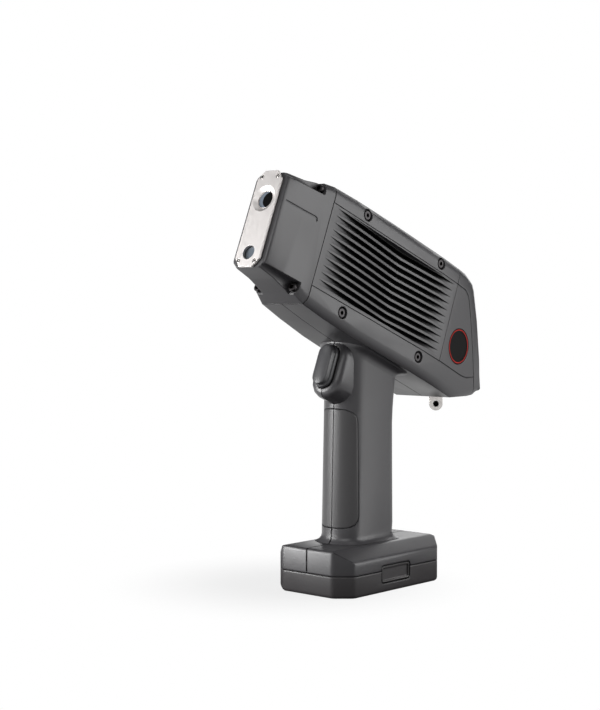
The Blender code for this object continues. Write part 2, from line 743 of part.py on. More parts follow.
def corner_box(name, x, h, start, end, clearance=0.0):
    """The corner of the nose round one bolt, from a station to a station and out past the skin."""
    reach = NOSE_BOLT_POCKET + CHANNEL_RISE + BOLT_WALL + clearance
    spans = []
    for centre in (x, h):
        sign = math.copysign(1, centre)
        spans.append(sorted((sign * (abs(centre) - reach), sign * REACH)))
    low, high = (spans[0][0], start, spans[1][0]), (spans[0][1], end, spans[1][1])
    return box(name, low, high)


def bolt_channel(name, x, h):
    """A corner channel that opens forwards from a bolt's seat: two flat walls and a round between them."""
    rings = []
    for station, rise in ((PLATE_START, CHANNEL_RISE), (NOSE_BOLT_SEAT, 0.0)):
        reach = NOSE_BOLT_POCKET + rise
        corner = [(-reach, REACH), (-reach, 0.0)]
        for step in range(1, 6):
            angle = math.pi / 2 * step / 6
            corner.append((-reach * math.cos(angle), -reach * math.sin(angle)))
        corner += [(0.0, -reach), (REACH, -reach), (REACH, REACH)]
        sign_x, sign_h = math.copysign(1, x), math.copysign(1, h)
        rings.append([(x + sign_x * a, station, h + sign_h * b) for a, b in corner])
    return loft(name, rings)


def nose_line_tool():
    """A shallow moulded line on both sides of the nose, with a short hook at its rear end."""
    points = table(NOSE_LINE)
    outline = (offset_line(points, NOSE_LINE_WIDTH / 2) + offset_line(points, -NOSE_LINE_WIDTH / 2)[::-1])
    line = slab("nose_line", outline, -REACH, REACH, "side")
    return cut(line, loft("nose_line_core", nose_rings(NOSE_LINE_DEPTH, PLATE_START, NOSE_SEAM)))


def nose_housing():
    """Tapered tube with a front wall, solid corners round its bolts and a channel for each bolt."""
    start = PLATE_BACK + GAP
    nose = loft("nose_housing", nose_rings(0, start, NOSE_SEAM - GAP / 2), "housing_grey")
    inner = nose_rings(WALL, start + NOSE_FRONT_WALL, NOSE_SEAM)
    room = loft("nose_room", inner + [[(x, s + 2 * MM, h) for x, s, h in inner[-1]]])
    for number, (x, h) in enumerate(bolt_places()):
        cut(room, corner_box(f"bolt_corner_{number}", x, h, PLATE_START, NOSE_SEAM + 5 * MM))
    cut(nose, room)
    cut(nose, cylinder("window_seat", WINDOW_RADIUS + 1 * MM, (0, 0, WINDOW_H), (0, 9 * MM, WINDOW_H), sides=32),
        cylinder("camera_seat", CAMERA_RADIUS, (0, 0, CAMERA_H), (0, 9 * MM, CAMERA_H), sides=28))
    for number, (x, h) in enumerate(plate_screw_places()):
        cut(nose, cylinder(f"nose_bore_{number}", SHANK_SHARE * PLATE_SCREW_HEAD + GAP / 2, (x, 0, h),
                           (x, PLATE_START + PLATE_SCREW_LENGTH + GAP, h), sides=12))
    for number, (x, h) in enumerate(bolt_places()):
        bore = cylinder(f"bolt_bore_{number}", SHANK_SHARE * NOSE_BOLT_HEAD + GAP, (x, 20 * MM, h),
                        (x, NOSE_SEAM + 8 * MM, h), sides=12)
        cut(nose, bolt_channel(f"bolt_channel_{number}", x, h), bore)
    return cut(nose, nose_line_tool())


def nose_bolts():
    for number, (x, h) in enumerate(bolt_places()):
        screw_part(f"nose_bolt_{number + 1}", NOSE_BOLT_HEAD, 2.6 * MM, NOSE_BOLT_LENGTH,
                   (x, NOSE_BOLT_SEAT - GAP, h), (0, -1, 0), "dark_steel", 14)


def windows():
    start = PLATE_BACK + GAP
    cylinder("analysis_window", WINDOW_RADIUS + 1 * MM - GAP, (0, start, WINDOW_H),
             (0, start + GLASS_THICKNESS, WINDOW_H), "window_glass", sides=32)
    start = PLATE_START + CAMERA_SET_BACK
    cylinder("camera_window", CAMERA_RADIUS - GAP, (0, start, CAMERA_H), (0, start + GLASS_THICKNESS, CAMERA_H),
             "window_glass", sides=28)


def camera_module():
    radius = CAMERA_RADIUS - GAP
    start = PLATE_START + CAMERA_SET_BACK + GLASS_THICKNESS + GAP
    profile = [(0, 15 * MM), (radius * 0.7, 15 * MM), (radius * 0.7, 11 * MM), (radius, 11 * MM), (radius, 0),
               (radius * 0.55, 0), (radius * 0.45, 1.2 * MM), (0, 1.6 * MM)]
    turned("camera_module", profile, (0, start, CAMERA_H), (0, 1, 0), "badge_black")


def detector_line():
    down = Vector((0, 1, -1)).normalized()
    start = Vector((0, 9.4 * MM, WINDOW_H - 8.5 * MM))
    return start, down


def nose_block():
    """Aluminium block that holds the beam path, the tilted detector and the camera."""
    start = PLATE_BACK + GAP + NOSE_FRONT_WALL + GAP
    block = loft("nose_block", nose_rings(WALL + GAP, start, NOSE_BLOCK_END), "block_aluminium")
    cut(block, cylinder("beam_bore", BEAM_RADIUS, (0, 0, WINDOW_H), (0, 30 * MM, WINDOW_H)),
        cylinder("camera_bore", CAMERA_RADIUS, (0, 0, CAMERA_H), (0, 30 * MM, CAMERA_H)))
    at, down = detector_line()
    cut(block, cylinder("detector_bore", DETECTOR_RADIUS + GAP, at - down * 6 * MM,
                        at + down * (DETECTOR_LENGTH + GAP)))
    for number, (x, h) in enumerate(bolt_places()):
        cut(block, corner_box(f"block_relief_{number}", x, h, PLATE_START, NOSE_SEAM, GAP))
    return block


def measuring_head():
    at, down = detector_line()
    cylinder("detector", DETECTOR_RADIUS, at, at + down * DETECTOR_LENGTH, "stainless", sides=20)
    hole_circle = WINDOW_H - WHEEL_H
    half = WHEEL_THICKNESS / 2
    bore = MOTOR_SHAFT + GAP / 2
    wheel = cylinder("filter_wheel", WHEEL_RADIUS, (0, -half, 0), (0, half, 0), "block_aluminium", sides=32)
    wheel.location = (0, WHEEL_START + half, WHEEL_H)
    for number in range(WHEEL_HOLES):
        angle = 2 * math.pi * number / WHEEL_HOLES
        x, h = hole_circle * math.sin(angle), WHEEL_H + hole_circle * math.cos(angle)
        cut(wheel, cylinder(f"filter_hole_{number}", FILTER_RADIUS, (x, 15 * MM, h), (x, 30 * MM, h), sides=12))
    cut(wheel, cylinder("wheel_bore", bore, (0, 15 * MM, WHEEL_H), (0, 30 * MM, WHEEL_H), sides=16))
    back = WHEEL_START + WHEEL_THICKNESS + GAP
    profile = [(0, MOTOR_LENGTH), (MOTOR_RADIUS, MOTOR_LENGTH), (MOTOR_RADIUS, 0), (MOTOR_SHAFT, 0),
               (MOTOR_SHAFT, -WHEEL_THICKNESS - 0.5 * MM), (0, -WHEEL_THICKNESS - 0.5 * MM)]
    turned("filter_motor", profile, (0, back, WHEEL_H), (0, 1, 0), "dark_steel", steps=20)
    length = TUBE_END - back
    profile = [(0, length), (5 * MM, length), (5 * MM, length - 4 * MM), (TUBE_RADIUS, length - 4 * MM),
               (TUBE_RADIUS, 3 * MM), (4 * MM, 3 * MM), (4 * MM, 0), (0, 0)]
    tube = turned("xray_tube", profile, (0, back, WINDOW_H), (0, 1, 0), "tube_brass")
    join(tube, filling_block("tube_collar", back + MOTOR_LENGTH + 1.5 * MM, TUBE_END - 5 * MM,
                             WINDOW_H - 9 * MM, WINDOW_H + 9 * MM))


def filling_block(name, start, end, low, high, look=None):
    """A block that reaches from one heat sink to the other, less a gap, and widens with them."""
    rings = []
    for station in (start, end):
        half = read(SIDE, station) - SINK_DEPTH - GAP
        rings.append([(half, station, low), (half, station, high), (-half, station, high), (-half, station, low)])
    return loft(name, rings, look)


def electronics():
    supply_end = TUBE_END + GAP + SUPPLY_LENGTH
    filling_block("high_voltage_supply", TUBE_END + GAP, supply_end, -20 * MM, 22 * MM, "badge_black")
    half = BOARD_THICKNESS / 2
    box("main_board", (-half, supply_end + GAP, -25 * MM), (half, supply_end + GAP + BOARD_LENGTH, 27 * MM),
        "board_green")


def pillar(name, start, end, inner, clearance=0.0):
    """A post behind a heat sink's end lip that ties the case half's top rail to its bottom rail."""
    outer = read(SIDE, start) - SINK_LIP - GAP + clearance
    low = (inner - clearance, start - clearance, read(BOTTOM, start) + 1.2 * MM)
    high = (outer, end + clearance, read(TOP, start) - 1.2 * MM)
    return box(name, low, high)


def pillars(tag, clearance=0.0):
    front = pillar(tag + "_front", NOSE_SEAM + GAP / 2, NOSE_SEAM + SINK_LIP_LENGTH, 7 * MM, clearance)
    rear = pillar(tag + "_rear", REAR_SEAM - SINK_LIP_LENGTH, REAR_SEAM + 1.8 * MM, 13 * MM, clearance)
    return front, rear


def side_screw_places():
    """Screws in the bands above and below the heat sink, centred between its edge and the case's."""
    heights = (SINK_TOP_H + SIDE_SCREW_OUT, SINK_BOTTOM_H - SIDE_SCREW_OUT)
    return [(s, h) for s in SIDE_SCREW_STATIONS for h in heights]


def case_half():
    """The left moulded half: body rails, half of the grip, the trigger bow and half of the foot."""
    half = loft("left_housing", body_rings(0, NOSE_SEAM + GAP / 2, BODY_END), "housing_grey")
    join(half, loft("grip", grip_rings(), tilted=False), trigger_bow(),
         foot_shape("foot_block", PARTING_Z + GAP / 2))
    cut(half, loft("body_room", body_rings(WALL, NOSE_SEAM - 5 * MM, BODY_END)))
    join(half, *pillars("pillar"))
    for number, (s, h) in enumerate(side_screw_places()):
        x = read(SIDE, s)
        join(half, cylinder(f"screw_boss_{number}", 4.4 * MM, (x - SIDE_SCREW_LENGTH - 3 * MM, s, h),
                            (x - 1.0 * MM, s, h), sides=14))
    join(half, box("eye_box", (-EYE_POCKET_X - WALL, EYE_Y - EYE_POCKET_Y - WALL, 122 * MM),
                   (EYE_POCKET_X + WALL, EYE_Y + EYE_POCKET_Y + 0.3 * MM, EYE_POCKET_Z + WALL), tilted=False))
    cut(half, box("other_half", (-REACH * 2, -REACH * 4, -REACH), (GAP / 2, REACH * 4, REACH * 6), tilted=False))
    for number, (s, h) in enumerate(side_screw_places()):
        x = read(SIDE, s)
        cut(half, cylinder(f"side_sink_{number}", SIDE_COUNTERBORE, (x - SIDE_SCREW_SINK - 1.4 * MM, s, h),
                           (x + 9 * MM, s, h), sides=20),
            cylinder(f"side_bore_{number}", SHANK_SHARE * SIDE_SCREW_HEAD + GAP / 2, (x - 30 * MM, s, h),
                     (x, s, h), sides=12))
    for number, h in enumerate((NOSE_BOLT_H, -NOSE_BOLT_H)):
        cut(half, cylinder(f"case_bolt_bore_{number}", SHANK_SHARE * NOSE_BOLT_HEAD + GAP, (NOSE_BOLT_X, 30 * MM, h),
                           (NOSE_BOLT_X, 50 * MM, h), sides=12))
    cut(half, sink_opening(), panel_opening(), slab("frame_opening", frame_region(GAP / 2), -REACH, REACH, "side"))
    cut(half, slab("battery_well", well_outline(), 0, WELL_TOP_Z, "flat", tilted=False))
    cut(half, foot_shape("foot_room", 0, FOOT_WALL))
    cut(half, latch_pocket(), *trigger_bay(), pad_recess())
    cut(half, box("eye_pocket", (-EYE_POCKET_X, EYE_Y - EYE_POCKET_Y, 100 * MM),
                  (EYE_POCKET_X, EYE_Y + EYE_POCKET_Y - WALL, EYE_POCKET_Z), tilted=False),
        cylinder("eye_bore", EYE_STEM + GAP, (0, EYE_Y, 120 * MM), (0, EYE_Y, EYE_POCKET_Z + 9 * MM), tilted=False))
    return half


def sink_opening():
    """The side opening for a heat sink, as deep as its lip at both ends so that the pillars stay."""
    outline = offset_line(SINK_OUTLINE, -GAP / 2, closed=True)
    opening = loft("sink_opening", body_rings(-5 * MM, NOSE_SEAM - 5 * MM, BODY_END))
    region = slab("sink_opening_region", outline, 3 * MM, REACH, "side")
    boolean(opening, region, "INTERSECT")
    keep = loft("sink_opening_core", body_rings(SINK_DEPTH + GAP, NOSE_SEAM - 6 * MM, BODY_END))
    cut(opening, keep)
    front, rear = pillars("pillar_kept")
    return cut(opening, front, rear)


def panel_opening():
    outline = offset_line(PANEL_OUTLINE, -GAP / 2, closed=True)
    opening = loft("panel_opening", body_rings(-5 * MM, NOSE_SEAM - 5 * MM, BODY_END))
    boolean(opening, slab("panel_opening_region", outline, 3 * MM, REACH, "side"), "INTERSECT")
    return cut(opening, loft("panel_opening_core", body_rings(WALL + GAP, NOSE_SEAM - 6 * MM, BODY_END)))


def trigger_bay():
    """The mouth that the trigger moves in, and the wider room behind it for its flange."""
    return (slab("trigger_mouth", trigger_outline(TRIGGER_STEP + GAP), BOW_FRONT - 8 * MM, BAY_REAR, "front"),
            slab("trigger_room", trigger_outline(TRIGGER_FLANGE + GAP), TRIGGER_REAR - 2 * MM - GAP, BAY_REAR,
                 "front"))


def pad_tool(name, clearance, look=None):
    """The grip's front skin inside the pad's outline: the pad, or the recess that it lies in."""
    piece = loft(name, grip_rings(0 if look else -2 * MM), look, tilted=False)
    rear, front = PAD_SIDE_Y + clearance, GRIP_FRONT_Y - 8 * MM
    low, high = PAD_BOTTOM_Z - clearance, PAD_TOP_Z + clearance
    corner = PAD_CORNER + clearance
    outline = rounded([(rear, low), (rear, high), (rear - 40 * MM, high), (rear - 40 * MM, low)], corner, 4)
    region = slab(name + "_region", [(max(y, front), z) for y, z in outline], GAP / 2 if look else -1 * MM, REACH,
                  "side", tilted=False)
    boolean(piece, region, "INTERSECT")
    core = loft(name + "_core", grip_rings(PAD_THICKNESS + clearance), tilted=False)
    return cut(piece, core)


def pad_recess():
    return pad_tool("pad_recess", GAP)


def heat_sink():
    """A thick insert whose fins are scooped along their length and whose grooves run out to points."""
    sink = skin_piece("left_heat_sink", SINK_OUTLINE, SINK_DEPTH, "sink_grey")
    cut(sink, *pillars("sink_relief", GAP))
    top = SINK_TOP_H - 1.1 * MM
    low = top - GROOVE_PITCH * (GROOVE_COUNT - 1) - GROOVE_WIDTH - 1.4 * MM
    scoop = loft("scoop", [scoop_ring(low), scoop_ring(top)])
    cut(sink, scoop)
    for number in range(GROOVE_COUNT):
        upper = top - 0.7 * MM - GROOVE_PITCH * number
        lower = upper - GROOVE_WIDTH
        cut(sink, loft(f"groove_{number}", [groove_ring(lower), groove_ring(upper)]))
    return sink


def face_depth(station):
    """How far the fin crests lie below the flush face: a soft dip, a kink, then a straight rise."""
    if station <= SCOOP_START or station >= SCOOP_END:
        return 0.0
    if station <= SCOOP_MIDDLE:
        share = (station - SCOOP_START) / (SCOOP_MIDDLE - SCOOP_START)
        return SCOOP_DEPTH * (1 - math.cos(math.pi * share * 0.82)) / (1 - math.cos(math.pi * 0.82))
    return SCOOP_DEPTH * (SCOOP_END - station) / (SCOOP_END - SCOOP_MIDDLE)


def scoop_ring(height):
    stations = [SCOOP_START + (SCOOP_MIDDLE - SCOOP_START) * step / 8 for step in range(9)] + [SCOOP_END]
    inner = [(read(SIDE, s) - face_depth(s), s, height) for s in stations]
    return inner + [(read(SIDE, s) + 6 * MM, s, height) for s in (SCOOP_END, SCOOP_START)]


def groove_ring(height):
    """Outline of one groove in plan: its floor ramps down from a point, runs deep, and ramps up again."""
    count = 12
    inner = []
    for step in range(count + 1):
        share = step / count
        s = GROOVE_START + (GROOVE_END - GROOVE_START) * share
        ramp = min(1.0, share * 4.0, (1 - share) * 6.0)
        inner.append((read(SIDE, s) - face_depth(s) - GROOVE_DEPTH * ramp + 0.02 * MM, s, height))
    return inner + [(read(SIDE, GROOVE_END) + 6 * MM, GROOVE_END, height),
                    (read(SIDE, GROOVE_START) + 6 * MM, GROOVE_START, height)]


def rear_panel():
    panel = skin_piece("left_rear_panel", PANEL_OUTLINE, WALL, "housing_grey")
    start, outward = badge_axis()
    cut(panel, cylinder("badge_seat", BADGE_RADIUS + GAP, start - outward * (BADGE_THICKNESS + GAP),
                        start + outward * 9 * MM, sides=32))
    return panel


def badge_axis():
    """Centre of the badge on the side face and that face's outward direction."""
    near, far = BADGE_S - 5 * MM, BADGE_S + 5 * MM
    along = Vector((read(SIDE, far) - read(SIDE, near), far - near, 0)).normalized()
    return Vector((read(SIDE, BADGE_S), BADGE_S, BADGE_H)), Vector((along.y, -along.x, 0))


def badge():
    """A bare round inlay: a raised rim and a sunk plain disc, with no sign on it."""
    start, outward = badge_axis()
    rim = 0.25 * MM
    profile = [(0, -rim), (BADGE_DISH, -rim), (BADGE_DISH, 0), (BADGE_RADIUS - 0.3 * MM, 0), (BADGE_RADIUS, -0.3 * MM),
               (BADGE_RADIUS, -BADGE_THICKNESS), (0, -BADGE_THICKNESS)]
    return turned("left_badge", profile, start, outward, "badge_black", steps=32)


def screen_axes():
    top = Vector((0, SCREEN_TOP[0] * MM, SCREEN_TOP[1] * MM))
    foot = Vector((0, SCREEN_FOOT[0] * MM, SCREEN_FOOT[1] * MM))
    down = (foot - top).normalized()
    outward = Vector((0, -down.z, down.y))
    return top, down, outward


def screen_box(name, start, end, half_width, inner, outer, look=None):
    """A box lying on the rear face, between two distances down it."""
    top, down, outward = screen_axes()
    obj = box(name, (-half_width, start, inner), (half_width, end, outer), look)
    obj.location = top
    obj.rotation_euler = Matrix((Vector((1, 0, 0)), down, outward)).transposed().to_euler()
    return obj


def rear_housing():
    """The display frame: the case's tail, open at the front, with the screen let into its rear face."""
    frame = loft("rear_housing", body_rings(0, NOSE_SEAM + GAP / 2, BODY_END), "housing_grey")
    boolean(frame, slab("frame_region", frame_region(-GAP / 2), -REACH, REACH, "side"), "INTERSECT")
    cut(frame, loft("frame_room", body_rings(WALL, NOSE_SEAM, BODY_END)))
    glass_end = SCREEN_START + SCREEN_LENGTH
    floor = -SCREEN_GLASS - GAP
    cut(frame, screen_box("glass_recess", SCREEN_START, glass_end, SCREEN_HALF_WIDTH, floor, 8 * MM),
        screen_box("screen_opening", SCREEN_START + SCREEN_BORDER, glass_end - SCREEN_BORDER,
                   SCREEN_HALF_WIDTH - SCREEN_BORDER, -12 * MM, 8 * MM))
    top, down, outward = screen_axes()
    middle = top + down * BUTTON_DOWN
    cut(frame, cylinder("button_hole", BUTTON_RADIUS + GAP, middle - outward * 12 * MM, middle + outward * 8 * MM))
    return frame


def display():
    end = SCREEN_START + SCREEN_LENGTH
    glass = screen_box("display_glass", SCREEN_START + GAP, end - GAP, SCREEN_HALF_WIDTH - GAP, -SCREEN_GLASS, 0,
                       "window_glass")
    bevel(glass, 0.3 * MM, 1, 60)
    border = SCREEN_BORDER + GAP
    screen_box("display_module", SCREEN_START + border, end - border, SCREEN_HALF_WIDTH - border,
               -SCREEN_GLASS - GAP - MODULE_THICKNESS, -SCREEN_GLASS - GAP, "badge_black")


def power_button():
    top, down, outward = screen_axes()
    middle = top + down * BUTTON_DOWN
    flange = BUTTON_RADIUS + 1.4 * MM
    inside = -WALL - 1.6 * MM
    profile = [(0, 0.6 * MM), (BUTTON_RADIUS * 0.8, 0.5 * MM), (BUTTON_RADIUS, 0.1 * MM),
               (BUTTON_RADIUS, inside), (flange, inside), (flange, inside - 1 * MM), (0, inside - 1 * MM)]
    return turned("power_button", profile, middle, outward, "rubber_grey", steps=24)


def trigger():
    """Crowned finger piece on a stepped slide, with a flange that stops it and a bore for its spring."""
    body = slab("trigger", trigger_outline(0), TRIGGER_FRONT, TRIGGER_REAR - 4 * MM, "front", "rubber_grey")
    bevel(body, 2.8 * MM, 4, 60)
    step = slab("trigger_step", trigger_outline(TRIGGER_STEP), TRIGGER_FRONT + TRIGGER_CROWN,
                TRIGGER_REAR - 1 * MM, "front")
    bevel(step, 0.5 * MM, 1, 60)
    flange = slab("trigger_flange", trigger_outline(TRIGGER_FLANGE), TRIGGER_REAR - 2 * MM, TRIGGER_REAR, "front")
    join(body, step, flange)
    spring_at = TRIGGER_H + SPRING_UP
    cut(body, cylinder("trigger_spring_bore", 2.9 * MM, (0, TRIGGER_REAR - SPRING_BORE, spring_at),
                       (0, TRIGGER_REAR + 1 * MM, spring_at), sides=16))
    return body


def coil(name, radius, wire, start, direction, length, turns, look, tilted=True):
    """A compression spring as one round wire wound along a helix."""
    curve = bpy.data.curves.new(name, "CURVE")
    curve.dimensions = "3D"
    curve.bevel_depth = wire
    curve.bevel_resolution = 0
    curve.use_fill_caps = True
    spline = curve.splines.new("POLY")
    steps = turns * 8
    spline.points.add(steps)
    for index, point in enumerate(spline.points):
        angle = 2 * math.pi * index / 8
        point.co = (radius * math.cos(angle), radius * math.sin(angle), wire + (length - 2 * wire) * index / steps, 1)
    guide = bpy.data.objects.new(name + "_path", curve)
    cutters.objects.link(guide)
    bpy.context.view_layer.update()
    mesh = bpy.data.meshes.new_from_object(guide.evaluated_get(bpy.context.evaluated_depsgraph_get()))
    bpy.data.objects.remove(guide)
    bm = bmesh.new()
    bm.from_mesh(mesh)
    obj = add(name, mesh_from(bm, name), look, tilted)
    obj.location = start
    obj.rotation_euler = Vector(direction).to_track_quat("Z", "Y").to_euler()
    return obj


def trigger_mechanism():
    spring_at = TRIGGER_H + SPRING_UP
    free = BAY_REAR - GAP - (TRIGGER_REAR - SPRING_BORE + GAP)
    coil("trigger_spring", 2.1 * MM, 0.4 * MM, (0, BAY_REAR - GAP, spring_at), (0, -1, 0), free, 5, "stainless")
    low = TRIGGER_H - TRIGGER_HALF_LENGTH + 1.5 * MM
    box("trigger_switch", (-4.5 * MM, TRIGGER_REAR + TRIGGER_TRAVEL + GAP, low),
        (4.5 * MM, BAY_REAR - GAP, low + 14 * MM), "badge_black")


def battery_base():
    """The foot's lower part: rings of the foot's outline that round its bottom edge."""
    rings = []
    for step in range(4):
        angle = math.pi / 2 * step / 3
        inset = BASE_EDGE * (1 - math.sin(angle))
        rings.append([(x, y, BASE_EDGE * (1 - math.cos(angle))) for x, y in soft_foot_outline(inset)])
    rings.append([(x, y, PARTING_Z - GAP / 2) for x, y in soft_foot_outline()])
    base = loft("battery_base", rings, "base_grey", tilted=False)
    pocket = latch_pocket()
    other = slab("latch_pocket_right", latch_outline(GAP), -FOOT_HALF_WIDTH - 5 * MM,
                 -(FOOT_HALF_WIDTH - LATCH_DEPTH - LATCH_TRAVEL - 2 * GAP), "side", tilted=False)
    return cut(base, pocket, other)


def battery_stem():
    contact = WELL_TOP_Z - CONTACT_HEIGHT
    stem = slab("battery_stem", well_outline(GAP), PARTING_Z + GAP / 2, contact - 2 * GAP, "flat", "cell_blue",
                tilted=False)
    bevel(stem, 0.8 * MM, 1, 60)
    slab("battery_contacts", well_outline(GAP), contact - GAP, WELL_TOP_Z - GAP, "flat", "badge_black", tilted=False)
    return stem


def latch():
    """Side latch: a plate with a raised rim round a shallow dish, and a bore for its spring."""
    back = FOOT_HALF_WIDTH - LATCH_DEPTH
    face = FOOT_HALF_WIDTH - 0.2 * MM
    plate = slab("left_latch", latch_outline(), back, face, "side", "base_grey", tilted=False)
    bevel(plate, 0.4 * MM, 1, 60)
    dish = slab("latch_dish", latch_outline(-LATCH_RIM), face - LATCH_DISH, face + 2 * MM, "side", tilted=False)
    bore = cylinder("latch_bore", 2.2 * MM, (back - 1 * MM, LATCH_Y, LATCH_Z), (back + LATCH_BORE, LATCH_Y, LATCH_Z),
                    tilted=False, sides=16)
    cut(plate, dish, bore)
    floor = back - LATCH_TRAVEL - 2 * GAP
    spring = coil("left_latch_spring", 1.55 * MM, 0.35 * MM, (floor + GAP, LATCH_Y, LATCH_Z), (1, 0, 0),
                  back + LATCH_BORE - floor - 2 * GAP, 3, "stainless", tilted=False)
    return plate, spring


def lanyard_eye():
    """A swivel eye: a round-ended plate with a hole, on a stem in the tail."""
    turn = Matrix.Rotation(EYE_TURN, 3, "Z")
    top = EYE_POCKET_Z - 4 * MM
    outline = [(-EYE_RADIUS * 0.7, top), (-EYE_RADIUS, top - 3 * MM)]
    for step in range(13):
        angle = math.pi + math.pi * step / 12
        outline.append((EYE_RADIUS * math.cos(angle), EYE_Z + EYE_RADIUS * math.sin(angle)))
    outline += [(EYE_RADIUS, top - 3 * MM), (EYE_RADIUS * 0.7, top)]
    eye = slab("lanyard_eye", outline, -EYE_THICKNESS / 2, EYE_THICKNESS / 2, "front", "stainless", tilted=False)
    eye.location = (0, EYE_Y, 0)
    eye.rotation_euler = (turn @ PLANES["front"]).to_euler()
    stem = cylinder("eye_stem", EYE_STEM, (0, EYE_Y, top - 2 * MM), (0, EYE_Y, EYE_POCKET_Z + WALL + 1.5 * MM),
                    tilted=False, sides=20)
    across = turn @ Vector((0, 1, 0)) * 5 * MM
    centre = Vector((0, EYE_Y, EYE_Z))
    hole = cylinder("eye_hole", EYE_HOLE, centre - across, centre + across, tilted=False, sides=20)
    collar = cylinder("eye_collar", EYE_STEM + 1.4 * MM, (0, EYE_Y, EYE_POCKET_Z + WALL + GAP),
                      (0, EYE_Y, EYE_POCKET_Z + WALL + GAP + 1.6 * MM), tilted=False, sides=20)
    join(eye, stem, collar)
    return cut(eye, hole)


def side_screws():
    count = 0
    for s, h in side_screw_places():
        count += 1
        x = read(SIDE, s) - SIDE_SCREW_SINK - 1.4 * MM + GAP
        screw = screw_part(f"left_side_screw_{count}", SIDE_SCREW_HEAD, 2.2 * MM, SIDE_SCREW_LENGTH - 2 * MM,
                           (x, s, h), (1, 0, 0), "dark_steel", 12)
        mirrored(screw, f"right_side_screw_{count}")


def build():
    left = case_half()
    mirrored(left, "right_housing")
    nose_housing()
    nose_plate()
    plate_screws()
    nose_bolts()
    windows()
    camera_module()
    nose_block()
    measuring_head()
    electronics()
    mirrored(heat_sink(), "right_heat_sink")
    mirrored(rear_panel(), "right_rear_panel")
    mirrored(badge(), "right_badge")
    rear_housing()
    display()
    power_button()
    trigger()
    trigger_mechanism()
    mirrored(pad_tool("left_grip_pad", 0.0, "rubber_grey"), "right_grip_pad")
    battery_base()
    battery_stem()
    plate, spring = latch()
    mirrored(plate, "right_latch")
    mirrored(spring, "right_latch_spring")
    lanyard_eye()
    side_screws()


build()
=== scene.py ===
# %% [markdown]
# # A handheld X-ray analyzer, dressed for the camera
# The instrument is a pistol-shaped case that stands on its battery foot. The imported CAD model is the
# fixed frame: it says where every piece is. This lesson gives those pieces finishes, makes the small
# repeated parts with Geometry Nodes, and lights the result like a product photograph.

import math

import bmesh
import bpy
from mathutils import Matrix, Vector


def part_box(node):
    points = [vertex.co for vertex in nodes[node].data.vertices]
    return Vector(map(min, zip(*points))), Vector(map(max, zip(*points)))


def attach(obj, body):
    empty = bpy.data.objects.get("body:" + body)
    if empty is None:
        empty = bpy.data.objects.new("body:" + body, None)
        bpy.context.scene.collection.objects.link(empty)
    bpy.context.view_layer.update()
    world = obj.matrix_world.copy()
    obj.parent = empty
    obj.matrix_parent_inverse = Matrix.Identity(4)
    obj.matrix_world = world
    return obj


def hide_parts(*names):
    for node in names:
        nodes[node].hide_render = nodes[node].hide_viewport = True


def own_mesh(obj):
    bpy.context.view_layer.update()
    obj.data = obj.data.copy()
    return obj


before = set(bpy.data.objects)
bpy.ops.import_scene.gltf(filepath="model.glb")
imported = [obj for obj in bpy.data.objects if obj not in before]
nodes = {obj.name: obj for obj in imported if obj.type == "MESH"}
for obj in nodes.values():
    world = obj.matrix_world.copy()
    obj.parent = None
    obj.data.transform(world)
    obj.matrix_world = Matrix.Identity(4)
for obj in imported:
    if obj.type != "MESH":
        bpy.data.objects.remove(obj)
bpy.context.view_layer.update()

# %% [markdown]
# ## The body's own axes
# The case is tilted nose up over an upright grip, so most of its details line up with its own axes and
# not with the world's. One matrix turns a place given as width, distance behind the nose plate, and
# height above the case's middle line into a place in the world. Working in millimetres there keeps the
# numbers the same as the ones a designer would write on a drawing.

# %% From body millimetres to world metres
MM = 0.001
TILT = math.radians(22.25)
NOSE = Vector((0, -0.0957, 0.236))
INTO_BODY = Matrix.Rotation(TILT, 3, "X")
BODY = Matrix.Translation(NOSE) @ Matrix.Rotation(-TILT, 4, "X") @ Matrix.Scale(MM, 4)
WINDOW_H = 13.1


def at(x, s, h):
    """World place of a point of the case, in metres."""
    return BODY @ Vector((x, s, h))


def along(x, s, h):
    """World direction of a direction of the case."""
    return (BODY.to_3x3() @ Vector((x, s, h))).normalized()


def middle_of(name):
    """Middle and half sizes of a CAD node's box."""
    low, high = (Vector(corner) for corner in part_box(name))
    return (low + high) / 2, (high - low) / 2


FORWARDS = along(0, -1, 0)
print("the nose faces", [round(v, 3) for v in FORWARDS])

# %% [markdown]
# ## Small helpers for materials
# Designers name colours in sRGB hex, and a shader wants linear light, so one function turns one into
# the other. A second adds a shader node with its settings and its links in one line, which keeps the
# recipes below short enough to read, and a third starts a material. A fourth lays one more colour over
# a material, wherever a mask is one, and the last two measure how far a point lies from an axis, which
# is what the mask of a round mark needs.

# %% Colour, node and mask helpers
def colour(code):
    """Linear red, green, blue and alpha for an sRGB hex code."""
    parts = [int(code[i:i + 2], 16) / 255 for i in (1, 3, 5)]
    linear = [c / 12.92 if c <= 0.04045 else ((c + 0.055) / 1.055) ** 2.4 for c in parts]
    return (*linear, 1)


def node(tree, kind, inputs=None, **settings):
    """Adds a node; inputs are values or sockets, by the input's name or number."""
    made = tree.nodes.new(kind)
    for key, value in settings.items():
        setattr(made, key, value)
    for key, value in (inputs or {}).items():
        if isinstance(value, bpy.types.NodeSocket):
            tree.links.new(value, made.inputs[key])
        else:
            made.inputs[key].default_value = value
    return made


def started(name):
    """A new material with its node tree and its Principled shader."""
    material = bpy.data.materials.new(name)
    material.use_nodes = True
    return material, material.node_tree, material.node_tree.nodes["Principled BSDF"]


def painted(tree, mask, shade):
    """Lays a shade over the base colour where the mask is one."""
    base = tree.nodes["Principled BSDF"].inputs["Base Color"]
    under = base.links[0].from_socket if base.is_linked else base.default_value[:]
    paint = node(tree, "ShaderNodeMix", {"Factor": mask, "A": under, "B": colour(shade)}, data_type="RGBA")
    tree.links.new(paint.outputs["Result"], base)


